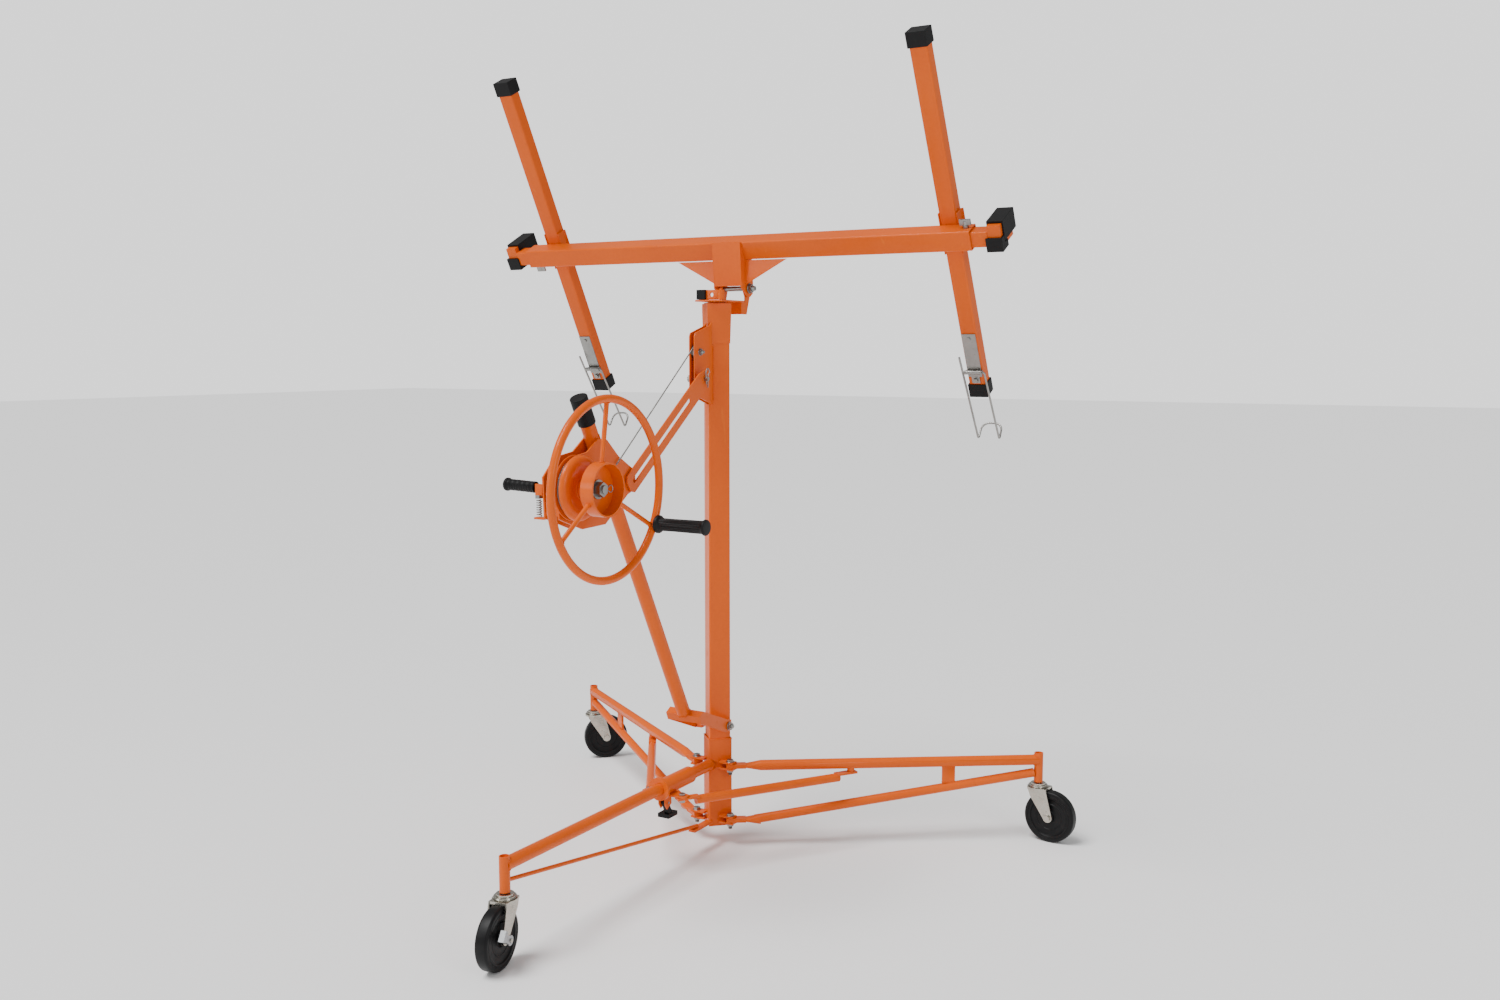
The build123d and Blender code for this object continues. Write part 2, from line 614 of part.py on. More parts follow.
def strut_hitch_pin():
    """Pin through bracket and brace, with a spring clip through its end."""
    pin = rod((-14, *STRUT_TOP), (36, *STRUT_TOP), 4.5) + rod((-18, *STRUT_TOP), (-8.0, *STRUT_TOP), 8)
    y, z = STRUT_TOP
    x = STRUT_X[1] + 4.5
    wire = FilletPolyline((x, y + 6, z - 20), (x, y + 6, z + 6), (x, y + 14, z + 16),
                          (x, y + 6, z + 26), (x, y - 3, z + 16), (x, y, z - 12), radius=3.5)
    pin -= rod((x, y, z - 13), (x, y, z + 13), 1.4)
    clip = sweep(Plane(origin=wire @ 0, z_dir=wire % 0) * Circle(1.3), path=wire)
    pin -= rod((x, y + 6, z - 26), (x, y + 6, z + 12), 1.6)
    return group(pin, clip - pin)


def drum_tangent():
    """Where the cable leaves the drum's lower side, straight towards the pulley."""
    target = cable_corner()
    radius = DRUM_RADIUS + CABLE_RADIUS + 0.3
    dy, dz = target[0] - SHAFT[0], target[1] - SHAFT[1]
    angle = atan2(dz, dy) - acos(radius / hypot(dy, dz))
    return (SHAFT[0] + radius * cos(angle), SHAFT[1] + radius * sin(angle))


def cable_corner():
    """The corner over the pulley where the two straight runs of cable would meet."""
    rise = radians(CABLE_RISE)
    turn = rise + radians(CABLE_DIP)
    radius = PULLEY_GROOVE + CABLE_RADIUS + 0.8
    reach = radius / cos(turn / 2)
    bisector = pi / 2 + (rise - radians(CABLE_DIP)) / 2
    return (PULLEY[0] + reach * cos(bisector), PULLEY[1] + reach * sin(bisector))


def cable_entry_z():
    y, z = cable_corner()
    return z - (-CORNER - y) * sin(radians(CABLE_DIP)) / cos(radians(CABLE_DIP))


def lift_cable():
    y, z = drum_tangent()
    start = (DRUM_X[0] + 9, y, z)
    corner = (0, *cable_corner())
    end = (0, -CORNER + 1.5, cable_entry_z() - 0.3)
    route = FilletPolyline(start, corner, end, radius=PULLEY_GROOVE + CABLE_RADIUS + 0.8)
    section = Plane(origin=route @ 0, z_dir=route % 0) * Circle(CABLE_RADIUS)
    return sweep(section, path=route)


# ---------------------------------------------------------------- head
def head_saddle():
    """Cap on the inner mast tube with a channel behind it that holds the tilt pivot."""
    body = block((-34, 40), (-42, 62), (INNER_TOP, INNER_TOP + 4))
    body += block((-34, 34), (58, 62), (1290, INNER_TOP + 4))
    side = [(58, 1290), (58, 1319), (76, 1319), (76, 1332), (69, 1344), (69, 1362), (78, 1370),
            (94, 1370), (102, 1362), (102, 1344), (84, 1290)]
    for x in ((31, 34), (-34, -31)):
        body += side_plate(side, x)
    body += rod((0, 0, INNER_TOP - 40), (0, 0, INNER_TOP), 14)
    body += rod((*LATCH_PIN, INNER_TOP), (*LATCH_PIN, INNER_TOP + 30), 4.0)
    return body - rod((-40, *TILT_PIVOT), (40, *TILT_PIVOT), 6.0)


def tilt_bolt():
    return bolt((-41, *TILT_PIVOT), (41, *TILT_PIVOT), 6.0, 19, 8)


def tilt_latch():
    """Turning bar on a pin beside the mast, with a round hole in its face."""
    x, y = LATCH_PIN
    low, high = INNER_TOP + 4 + MOVING_GAP, INNER_TOP + 27
    body = block((x - 56, x), (y - 4, y + 1), (low, high)) + rod((x, y, low), (x, y, high), 8.0)
    body -= rod((x, y, low - 1), (x, y, high + 1), 4.0 + PIN_CLEARANCE)
    return body - rod((x - 24, y - 20, low + 11), (x - 24, y + 20, low + 11), 5.0)


def latch_knob():
    """Rubber block pressed over the end of the latch."""
    x, y = LATCH_PIN
    low = INNER_TOP + 4 + MOVING_GAP
    body = block((x - 62, x - 38), (y - 11, y + 11), (low, low + 23))
    return body - block((x - 56, x), (y - 4, y + 1), (low - 1, low + 40))


# ---------------------------------------------------------------- cradle
CRADLE = Plane(origin=(0, *BAR_CENTRE), x_dir=(1, 0, 0),
               z_dir=(0, sin(radians(TILT)), cos(radians(TILT))))
# In the cradle's own axes: x along the crossbar, y towards the hooks, z to the board.


def crossbar():
    size, bore = BAR_SIZE, BAR_SIZE - 2 * BAR_WALL
    body = Plane.YZ.offset(-BAR_HALF) * extrude(square_section(size, BAR_WALL), 2 * BAR_HALF)
    for side in (-1, 1):
        x = side * (BAR_HALF - 14)
        body -= rod((x, -side * bore / 2 + side, 0), (x, -side * (size / 2 + 1), 0), 4.0 + PIN_CLEARANCE)
    return CRADLE * body


def tilt_bracket():
    """Channel under the crossbar with gussets, and the ears for the tilt bolt."""
    web = [(41.8, 1461), (45.0, 1459.4), (54.6, 1357), (51.4, 1357)]
    flange = [(41.8, 1461), (45.0, 1459.4), (66.5, 1418.9), (98.0, 1435.7), (106, 1365), (104, 1340),
              (92, 1332), (78, 1332), (66, 1342), (51.4, 1352)]
    body = side_plate(web, (-39, 39))
    for x in ((36, 39), (-39, -36)):
        body += side_plate(flange, x)
    body -= CRADLE * Box(2 * BAR_HALF, BAR_SIZE, BAR_SIZE)
    for side in (-1, 1):
        corner = [(side * 39, 1418.5), (side * 152, 1418.5), (side * 39, 1360)]
        face = make_face(Polyline(*corner, close=True))
        body += Plane(origin=(0, 70, 0), x_dir=(1, 0, 0), z_dir=(0, -1, 0)) * extrude(face, 3)
    return body - rod((-60, *TILT_PIVOT), (60, *TILT_PIVOT), 6.0 + PIN_CLEARANCE)


def arm_brackets():
    """Flared channels, one under each arm, bolted over the crossbar."""
    half = BAR_SIZE / 2
    inner = ARM_WIDTH / 2 + 0.02
    brackets = []
    for side in (-1, 1):
        for wall in (-1, 1):
            x = side * ARM_X + wall * inner
            profile = [(x, half), (x, half + 26), (x + wall * 6, half + 30),
                       (x + wall * 9, half + 28), (x + wall * 3, half + 24), (x + wall * 3, half)]
            face = make_face(Polyline(*profile, close=True))
            cheek = Plane(origin=(0, half + 26, 0), x_dir=(1, 0, 0), z_dir=(0, -1, 0))
            brackets.append(cheek * extrude(face, 2 * half + 52))
    return CRADLE * group(*brackets)


def arm(side):
    low = BAR_SIZE / 2
    span = (-ARM_ABOVE + 3, ARM_BELOW - 3)
    x = side * ARM_X
    outer = RectangleRounded(ARM_WIDTH, ARM_DEPTH, CORNER_RADIUS)
    inner = RectangleRounded(ARM_WIDTH - 2 * ARM_WALL, ARM_DEPTH - 2 * ARM_WALL, BORE_RADIUS)
    start = Plane(origin=(x, span[1], low + ARM_DEPTH / 2), x_dir=(1, 0, 0), z_dir=(0, -1, 0))
    return CRADLE * start * extrude(outer - inner, span[1] - span[0])


def arm_caps():
    """Rubber caps over both ends of both arms."""
    caps = []
    low = BAR_SIZE / 2
    for side in (-1, 1):
        for end, sign in ((-ARM_ABOVE, -1), (ARM_BELOW, 1)):
            x = side * ARM_X
            span = sorted((end, end - sign * 34))
            cap = block((x - ARM_WIDTH / 2 - 3, x + ARM_WIDTH / 2 + 3), span, (low - 3, low + ARM_DEPTH + 3))
            seat = sorted((end - sign * 3, end - sign * 40))
            cap -= block((x - ARM_WIDTH / 2, x + ARM_WIDTH / 2), seat, (low, low + ARM_DEPTH))
            caps.append(cap)
    return CRADLE * group(*caps)


def extension_post():
    return block(POST_X, (-30, 22), (-16, 60))


def extension(side):
    """Tube that slides out of the crossbar's end, with its short post."""
    length = POST_X[0] - EXTENSION_FOOT
    body = Plane.YZ.offset(EXTENSION_FOOT) * extrude(square_section(EXTENSION_SIZE, 2.5), length)
    body = CRADLE * (body + extension_post())
    return body if side > 0 else mirror_x(body)


def extension_pads(side):
    """Rubber blocks pushed over both ends of the extension's post."""
    half = EXTENSION_SIZE / 2 + 0.02
    upper = block(PAD_X, (-36, 10), (-2, 74)) - extension_post()
    lower = block(PAD_X, (-4, 28), (-22, -3)) - extension_post()
    lower += block(PAD_X, (12, 28), (-3, 16)) - extension_post()
    passage = block((PAD_X[0] - 8, POST_X[0]), (-half, half), (-half, half))
    pads = CRADLE * group(upper - passage, lower - passage)
    return pads if side > 0 else mirror_x(pads)


def clamp_screw(side):
    """Thumb screw through the crossbar's wall that clamps the extension."""
    x = side * (BAR_HALF - 14)
    tip, outside = EXTENSION_SIZE / 2 + 0.4, BAR_SIZE / 2
    body = rod((x, -side * tip, 0), (x, -side * (outside + 16), 0), 4.0)
    body += rod((x, -side * (outside + MOVING_GAP), 0), (x, -side * (outside + 6), 0), 7.0)
    wing = sorted((-side * (outside + 6), -side * (outside + 20)))
    body += block((x - 13, x + 13), wing, (-2, 2))
    return CRADLE * body


def hook_clips():
    """Sheet clips bolted under the arms; each has a rolled eye that holds the hook's wire."""
    clips = []
    base = BAR_SIZE / 2
    axis = base - CLIP_HEIGHT
    for side in (-1, 1):
        x = side * ARM_X
        plate = block((x - 17, x + 17), (HOOK_PIVOT_Y - 96, HOOK_PIVOT_Y + 16), (base - 2.5, base - 0.02))
        plate += block((x - 10, x + 10), (HOOK_PIVOT_Y + 16, HOOK_PIVOT_Y + 33), (base - 2.5, base - 0.02))
        plate += block((x - 21, x + 21), (HOOK_PIVOT_Y - 2, HOOK_PIVOT_Y + 2), (axis, base - 1))
        plate += rod((x - 22, HOOK_PIVOT_Y, axis), (x + 22, HOOK_PIVOT_Y, axis), 5.0)
        plate -= rod((x - 30, HOOK_PIVOT_Y, axis), (x + 30, HOOK_PIVOT_Y, axis), HOOK_WIRE + PIN_CLEARANCE)
        plate += hex_head((x, HOOK_PIVOT_Y + 25, base - 2.5), (0, 0, -1), 11, 5)
        clips.append(plate + hex_head((x, HOOK_PIVOT_Y - 84, base - 2.5), (0, 0, -1), 8, 3))
    return CRADLE * group(*clips)


def board_hook(side):
    """One bent wire: two legs past the arm's end, joined by an arch that holds the board's edge."""
    x = side * ARM_X
    axis = BAR_SIZE / 2 - CLIP_HEIGHT
    foot = axis + HOOK_SLOPE * (HOOK_REACH - HOOK_PIVOT_Y)
    arch = (HOOK_REACH - 23, foot + HOOK_LIP)
    tail = 42.0
    right, left = x + HOOK_HALF, x - HOOK_HALF
    points = [(x + 8, HOOK_PIVOT_Y, axis), (right, HOOK_PIVOT_Y, axis), (right, HOOK_REACH, foot),
              (right - 1, *arch), (left + 1, *arch), (left, HOOK_REACH, foot),
              (left, HOOK_PIVOT_Y - tail, axis - HOOK_SLOPE * tail)]
    wire = FilletPolyline(*points, radius=[4, 5, 20, 20, 5])
    body = sweep(Plane(origin=wire @ 0, z_dir=wire % 0) * Circle(HOOK_WIRE), path=wire)
    body += rod((left, HOOK_PIVOT_Y, axis), (x - 8, HOOK_PIVOT_Y, axis), HOOK_WIRE)
    return CRADLE * body


# ---------------------------------------------------------------- all nodes
nodes["mast_socket"] = mast_socket()
nodes["mast_outer"] = mast_outer()
nodes["mast_middle"] = sliding_tube(MIDDLE_SIZE, 60, INNER_TOP - 14)
nodes["mast_inner"] = sliding_tube(INNER_SIZE, 70, INNER_TOP)
nodes["main_leg"] = main_leg()
nodes["main_leg_brace"] = main_leg_brace()
nodes["base_bolts"] = base_bolts()
nodes["leg_tube_right"] = leg_tube()
nodes["leg_tube_left"] = mirror_x(leg_tube())
nodes["leg_brace_right"] = leg_brace()
nodes["leg_brace_left"] = mirror_x(leg_brace())
nodes["slide_collar"] = slide_collar()
nodes["collar_bolts"] = collar_bolts()
nodes["foot_pedal"] = foot_pedal()
nodes["fold_link_right"] = fold_link()
nodes["fold_link_left"] = mirror_x(fold_link())

CASTERS = {"front": (0, -MAIN_LEG_REACH, -80.0),
           "right": (*along_leg(SIDE_LEG_LENGTH), -5.0),
           "left": (*along_leg(SIDE_LEG_LENGTH, -1), 45.0)}
for name, place in CASTERS.items():
    nodes["caster_fork_" + name], nodes["caster_wheel_" + name] = caster_parts(*place)
nodes["caster_brake"] = caster_brake(*CASTERS["front"])

nodes["winch_tube"] = winch_tube()
nodes["winch_tube_cap"] = winch_tube_cap()
nodes["winch_yoke"] = winch_yoke()
nodes["winch_plates"] = winch_plates()
nodes["winch_shaft"] = winch_shaft()
nodes["cable_drum"] = cable_drum()
nodes["ratchet_gear"] = ratchet_gear()
nodes["hand_wheel_rim"] = hand_wheel_rim()
nodes["hand_wheel_hub"] = hand_wheel_hub()
nodes["wheel_grip"] = wheel_grip()
nodes["brake_lever"] = brake_lever()
nodes["brake_grip"] = brake_grip()
nodes["brake_spring"] = brake_spring()
nodes["strut_bar"] = strut_bar()
nodes["pulley_bracket"] = pulley_bracket()
nodes["cable_pulley"] = cable_pulley()
nodes["strut_hitch_pin"] = strut_hitch_pin()
nodes["lift_cable"] = lift_cable()

nodes["head_saddle"] = head_saddle()
nodes["tilt_bolt"] = tilt_bolt()
nodes["tilt_latch"] = tilt_latch()
nodes["latch_knob"] = latch_knob()
nodes["crossbar"] = crossbar()
nodes["tilt_bracket"] = tilt_bracket()
nodes["arm_brackets"] = arm_brackets()
nodes["arm_caps"] = arm_caps()
nodes["hook_clips"] = hook_clips()
for name, side in (("right", 1), ("left", -1)):
    nodes["arm_" + name] = arm(side)
    nodes["extension_" + name] = extension(side)
    nodes["extension_pads_" + name] = extension_pads(side)
    nodes["clamp_screw_" + name] = clamp_screw(side)
    nodes["board_hook_" + name] = board_hook(side)

os.makedirs("parts", exist_ok=True)
for name, part in nodes.items():
    export_step(part, "parts/" + name + ".step")
print(len(nodes), "nodes")
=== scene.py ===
import bpy
import bmesh
import json
from math import acos, atan2, cos, hypot, pi, radians, sin
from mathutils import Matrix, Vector

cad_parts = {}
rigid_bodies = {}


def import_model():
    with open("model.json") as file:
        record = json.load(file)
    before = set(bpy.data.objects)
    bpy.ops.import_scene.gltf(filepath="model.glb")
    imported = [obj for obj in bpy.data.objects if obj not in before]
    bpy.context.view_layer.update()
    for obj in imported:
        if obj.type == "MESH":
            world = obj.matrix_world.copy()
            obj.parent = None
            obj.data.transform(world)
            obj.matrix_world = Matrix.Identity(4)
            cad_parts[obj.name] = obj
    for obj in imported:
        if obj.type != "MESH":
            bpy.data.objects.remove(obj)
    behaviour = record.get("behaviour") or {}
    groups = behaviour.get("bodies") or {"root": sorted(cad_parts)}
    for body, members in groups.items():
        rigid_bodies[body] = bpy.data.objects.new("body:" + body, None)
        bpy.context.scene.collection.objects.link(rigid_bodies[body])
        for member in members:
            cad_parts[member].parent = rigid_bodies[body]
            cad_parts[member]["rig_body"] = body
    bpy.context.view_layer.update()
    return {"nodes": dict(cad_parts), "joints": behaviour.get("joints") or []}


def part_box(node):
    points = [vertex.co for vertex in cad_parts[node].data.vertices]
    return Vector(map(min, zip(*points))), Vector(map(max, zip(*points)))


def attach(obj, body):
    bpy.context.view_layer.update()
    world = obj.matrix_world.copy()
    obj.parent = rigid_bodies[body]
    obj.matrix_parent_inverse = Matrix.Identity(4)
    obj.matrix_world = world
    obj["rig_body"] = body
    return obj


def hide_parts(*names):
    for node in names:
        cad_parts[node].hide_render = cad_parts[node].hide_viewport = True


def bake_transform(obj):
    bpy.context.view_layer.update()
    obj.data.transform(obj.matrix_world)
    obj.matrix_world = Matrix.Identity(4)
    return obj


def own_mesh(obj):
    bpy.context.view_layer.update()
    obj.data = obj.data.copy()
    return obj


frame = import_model()
pivot = {j["name"]: Vector(j["pos_m"]) for j in frame["joints"] if "pos_m" in j}
turn_axis = {j["name"]: Vector(j["axis"]).normalized() for j in frame["joints"]}

# ---------------------------------------------------------------- the studio
# A pale floor under a white sky, which looks brighter to the camera than the light it
# gives, with a very soft sun overhead and two weak lamps in front. The camera stands at
# the right of the winch, at chest height.
FLOOR_HALF = 30.0
EYE = Vector((1.7349, -2.8185, 1.2044))
HEADING = 30.24
LOOK_DOWN = 6.196
FOCAL = 33.13
SKY_LIGHT = 0.42
SKY_SEEN = 1.50
SUN_POWER = 3.3
SUN_SPREAD = 30
LAMP_SIZE = 1.4
LAMP_POWER = 30

floor_mesh = bpy.data.meshes.new("studio_floor")
corners = [(-FLOOR_HALF, -FLOOR_HALF, 0), (FLOOR_HALF, -FLOOR_HALF, 0),
           (FLOOR_HALF, FLOOR_HALF, 0), (-FLOOR_HALF, FLOOR_HALF, 0)]
floor_mesh.from_pydata(corners, [], [(0, 1, 2, 3)])
floor = bpy.data.objects.new("studio_floor", floor_mesh)
bpy.context.collection.objects.link(floor)
floor_paint = bpy.data.materials.new("pale_floor")
floor_paint.use_nodes = True
floor_paint.node_tree.nodes["Principled BSDF"].inputs["Base Color"].default_value = (0.94, 0.94, 0.94, 1)
floor_paint.node_tree.nodes["Principled BSDF"].inputs["Roughness"].default_value = 0.8
floor_mesh.materials.append(floor_paint)

sky = bpy.data.worlds.new("white_sky")
sky.use_nodes = True
sky.node_tree.nodes["Background"].inputs["Color"].default_value = (1, 1, 1, 1)
rays = sky.node_tree.nodes.new("ShaderNodeLightPath")
seen = sky.node_tree.nodes.new("ShaderNodeMapRange")
seen.inputs["To Min"].default_value = SKY_LIGHT
seen.inputs["To Max"].default_value = SKY_SEEN
sky.node_tree.links.new(rays.outputs["Is Camera Ray"], seen.inputs["Value"])
sky.node_tree.links.new(seen.outputs["Result"], sky.node_tree.nodes["Background"].inputs["Strength"])
bpy.context.scene.world = sky

sun_data = bpy.data.lights.new("overhead", "SUN")
sun_data.energy = SUN_POWER
sun_data.angle = radians(SUN_SPREAD)
sun = bpy.data.objects.new("overhead", sun_data)
sun.rotation_euler = (radians(24), radians(-14), 0)
bpy.context.collection.objects.link(sun)

for label, place in (("front_left", (-2.2, -4.0, 2.0)), ("front_right", (3.6, -1.8, 2.2))):
    lamp_data = bpy.data.lights.new(label, "AREA")
    lamp_data.size = LAMP_SIZE
    lamp_data.energy = LAMP_POWER
    lamp = bpy.data.objects.new(label, lamp_data)
    lamp.location = place
    aim = Vector((0, 0, 0.9)) - Vector(place)
    lamp.rotation_euler = aim.to_track_quat("-Z", "Y").to_euler()
    bpy.context.collection.objects.link(lamp)

eye_data = bpy.data.cameras.new("eye")
eye_data.sensor_width = 36
eye_data.lens = FOCAL
eye = bpy.data.objects.new("eye", eye_data)
eye.location = EYE
eye.rotation_euler = (radians(90 - LOOK_DOWN), 0, radians(HEADING))
bpy.context.collection.objects.link(eye)
bpy.context.scene.camera = eye


# ---------------------------------------------------------------- orange powder coat
# Every tube and plate of the lift is dipped, sprayed and baked in one orange coat,
# which is glossy, a little mottled, and wavy like the skin of an orange.
class Wire:
    """A value in a material; each sign used on it adds the Math node for that sign."""

    def __init__(self, finish, socket):
        self.finish = finish
        self.socket = socket

    def sign(self, operation, first, second):
        return self.finish.node("ShaderNodeMath", {"operation": operation}, {0: first, 1: second})

    def __add__(self, other):
        return self.sign("ADD", self, other)

    def __mul__(self, other):
        return self.sign("MULTIPLY", self, other)

    def __sub__(self, other):
        return self.sign("SUBTRACT", self, other)

    def __rsub__(self, other):
        return self.sign("SUBTRACT", other, self)

    __radd__ = __add__
    __rmul__ = __mul__


class Finish:
    """One material: its nodes and the constants on its shader."""

    def __init__(self, name, constants):
        self.material = bpy.data.materials.new(name)
        self.material.use_nodes = True
        self.tree = self.material.node_tree
        self.shader = self.tree.nodes["Principled BSDF"]
        for label, value in constants.items():
            self.shader.inputs[label].default_value = value
        self.place = self.node("ShaderNodeTexCoord", {}, {}, "Object")

    def node(self, kind, settings, sockets, output=0):
        made = self.tree.nodes.new(kind)
        for label, value in settings.items():
            setattr(made, label, value)
        for label, value in sockets.items():
            if isinstance(value, Wire):
                self.tree.links.new(value.socket, made.inputs[label])
            else:
                made.inputs[label].default_value = value
        return Wire(self, made.outputs[output])

    def noise(self, scale, detail=2.0, stretch=(1, 1, 1)):
        """Cloudy pattern from 0 to 1; scale is in patches a metre."""
        place = self.node("ShaderNodeMapping", {}, {"Vector": self.place, "Scale": stretch})
        return self.node("ShaderNodeTexNoise", {}, {"Vector": place, "Scale": scale, "Detail": detail})

    def mask(self, value, low, high):
        """0 below low, 1 above high, smooth between."""
        settings = {"interpolation_type": "SMOOTHSTEP"}
        return self.node("ShaderNodeMapRange", settings, {"Value": value, "From Min": low, "From Max": high})

    def blend(self, factor, first, second):
        return self.node("ShaderNodeMix", {"data_type": "RGBA"}, {0: factor, 6: first, 7: second}, 2)

    def feed(self, label, value):
        self.tree.links.new(value.socket, self.shader.inputs[label])

    def bump(self, height, strength, distance):
        self.feed("Normal", self.node("ShaderNodeBump", {}, {"Height": height, "Strength": strength,
                                                             "Distance": distance}))


paint = Finish("orange_powder_coat", {"Coat Weight": 0.12, "Coat Roughness": 0.10, "IOR": 1.30,
                                      "Specular IOR Level": 0.40})
patches = paint.noise(7, 3)
mottle = paint.noise(150, 3)
skin = paint.noise(520, 2)
dust = paint.mask(paint.noise(34, 5), 0.60, 0.78)
scuff = paint.mask(paint.noise(46, 6, (1, 1, 0.12)), 0.66, 0.74)
deep = (0.60, 0.076, 0.0, 1)
bright = (0.78, 0.126, 0.0, 1)
worn = (0.88, 0.24, 0.020, 1)
dull = (0.45, 0.066, 0.0, 1)
body_colour = paint.blend(patches * 0.6 + mottle * 0.4, deep, bright)
dusty_colour = paint.blend(dust * 0.16, body_colour, dull)
paint.feed("Base Color", paint.blend(scuff * 0.20, dusty_colour, worn))
paint.feed("Roughness", 0.27 + mottle * 0.14 + dust * 0.12 + scuff * 0.10)
paint.bump(skin * 0.7 + mottle * 0.5, 0.10, 0.0006)


# ---------------------------------------------------------------- mast and pulley bracket
# Three square steel tubes slide in one another. The outer one stands in a thin welded
# socket and ends in a flared guide; the pulley bracket is two plates welded to its corner.
SHARP_EDGE = radians(32)


def finished(node, finish, edge=0.0007):
    """The CAD piece with its sharp edges rounded over, in its own finish."""
    source = frame["nodes"][node]
    shape = bmesh.new()
    shape.from_mesh(source.data)
    bmesh.ops.remove_doubles(shape, verts=shape.verts, dist=2e-6)
    bmesh.ops.dissolve_limit(shape, angle_limit=radians(0.5), verts=shape.verts, edges=shape.edges)
    mesh = bpy.data.meshes.new(node + "_finished")
    shape.to_mesh(mesh)
    shape.free()
    mesh.shade_smooth()
    mesh.set_sharp_from_angle(angle=SHARP_EDGE)
    mesh.materials.clear()
    mesh.materials.append(finish.material)
    piece = bpy.data.objects.new(node + "_finished", mesh)
    bpy.context.collection.objects.link(piece)
    if edge:
        rounding = piece.modifiers.new("rounded_edges", "BEVEL")
        rounding.width = edge
        rounding.segments = 2
        rounding.limit_method = "ANGLE"
        rounding.angle_limit = SHARP_EDGE
        rounding.harden_normals = True
    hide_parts(node)
    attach(piece, source["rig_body"])
    return piece


for node in ("mast_socket", "mast_outer", "mast_middle", "mast_inner", "pulley_bracket"):
    finished(node, paint)

# ---------------------------------------------------------------- weld beads
# The frame is welded by hand before it is painted, so each seam keeps a rippled bead
# of overlapping drops under the orange coat.
BEAD = 0.0021
RIPPLE = 0.0023


def weld_tree():
    """Geometry Nodes: a row of flattened drops along each seam."""
    tree = bpy.data.node_groups.new("weld_bead", "GeometryNodeTree")
    faces = tree.interface
    faces.new_socket("Geometry", in_out="INPUT", socket_type="NodeSocketGeometry")
    faces.new_socket("Bead Radius", in_out="INPUT", socket_type="NodeSocketFloat")
    faces.new_socket("Ripple", in_out="INPUT", socket_type="NodeSocketFloat")
    faces.new_socket("Finish", in_out="INPUT", socket_type="NodeSocketMaterial")
    faces.new_socket("Geometry", in_out="OUTPUT", socket_type="NodeSocketGeometry")
    made = {}
    for label, kind in (("in", "NodeGroupInput"), ("points", "GeometryNodeCurveToPoints"),
                        ("drop", "GeometryNodeMeshUVSphere"), ("smooth", "GeometryNodeSetShadeSmooth"),
                        ("size", "FunctionNodeRandomValue"), ("row", "GeometryNodeInstanceOnPoints"),
                        ("real", "GeometryNodeRealizeInstances"), ("coat", "GeometryNodeSetMaterial"),
                        ("out", "NodeGroupOutput")):
        made[label] = tree.nodes.new(kind)
    made["points"].mode = "LENGTH"
    made["size"].data_type = "FLOAT_VECTOR"
    made["drop"].inputs["Segments"].default_value = 8
    made["drop"].inputs["Rings"].default_value = 5
    made["size"].inputs["Min"].default_value = (0.85, 0.85, 0.60)
    made["size"].inputs["Max"].default_value = (1.05, 1.05, 0.80)
    made["size"].inputs["Seed"].default_value = 7
    link = tree.links.new
    link(made["in"].outputs["Geometry"], made["points"].inputs["Curve"])
    link(made["in"].outputs["Ripple"], made["points"].inputs["Length"])
    link(made["in"].outputs["Bead Radius"], made["drop"].inputs["Radius"])
    link(made["drop"].outputs["Mesh"], made["smooth"].inputs["Geometry"])
    link(made["points"].outputs["Points"], made["row"].inputs["Points"])
    link(made["points"].outputs["Rotation"], made["row"].inputs["Rotation"])
    link(made["smooth"].outputs["Geometry"], made["row"].inputs["Instance"])
    link(made["size"].outputs["Value"], made["row"].inputs["Scale"])
    link(made["row"].outputs["Instances"], made["real"].inputs["Geometry"])
    link(made["real"].outputs["Geometry"], made["coat"].inputs["Geometry"])
    link(made["in"].outputs["Finish"], made["coat"].inputs["Material"])
    link(made["coat"].outputs["Geometry"], made["out"].inputs["Geometry"])
    return tree


def run_tree(name, tree, paths, inputs, body):
    """Feeds paths to a Geometry Nodes tree and keeps its result as a plain mesh."""
    line = bpy.data.curves.new(name + "_path", "CURVE")
    line.dimensions = "3D"
    for points, closed in paths:
        spline = line.splines.new("POLY")
        spline.points.add(len(points) - 1)
        for point, place in zip(spline.points, points):
            point.co = (*place, 1)
        spline.use_cyclic_u = closed
    seed = bpy.data.objects.new(name + "_path", line)
    bpy.context.collection.objects.link(seed)
    maker = seed.modifiers.new("maker", "NODES")
    maker.node_group = tree
    for item in tree.interface.items_tree:
        if item.item_type == "SOCKET" and item.in_out == "INPUT" and item.name in inputs:
            maker[item.identifier] = inputs[item.name]
    ready = seed.evaluated_get(bpy.context.evaluated_depsgraph_get())
    mesh = bpy.data.meshes.new_from_object(ready)
    bpy.data.objects.remove(seed)
    mesh.name = name
    piece = bpy.data.objects.new(name, mesh)
    bpy.context.collection.objects.link(piece)
    if body:
        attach(piece, body)
    return piece


def across(axis):
    """Two unit directions at right angles to an axis and to each other."""
    first = Vector((0, 0, 1)) if abs(axis.z) < 0.9 else Vector((1, 0, 0))
    first = (first - axis * first.dot(axis)).normalized()
    return first, axis.cross(first)


def ring(centre, axis, radius, steps=40):
    """A closed round seam."""
    first, second = across(Vector(axis).normalized())
    turns = [2 * pi * i / steps for i in range(steps)]
    return [Vector(centre) + (first * cos(t) + second * sin(t)) * radius for t in turns], True


def seam(*points):
    """An open seam of straight runs."""
    return [Vector(p) for p in points], False


welds = weld_tree()
bead = {"Bead Radius": BEAD, "Ripple": RIPPLE, "Finish": paint.material}

leg_level = pivot["leg_right_fold"].z
front_post = pivot["swivel_front"]
socket_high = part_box("mast_socket")[1]
socket_half = socket_high.y
leg_radius = 0.014
post_radius = 0.011


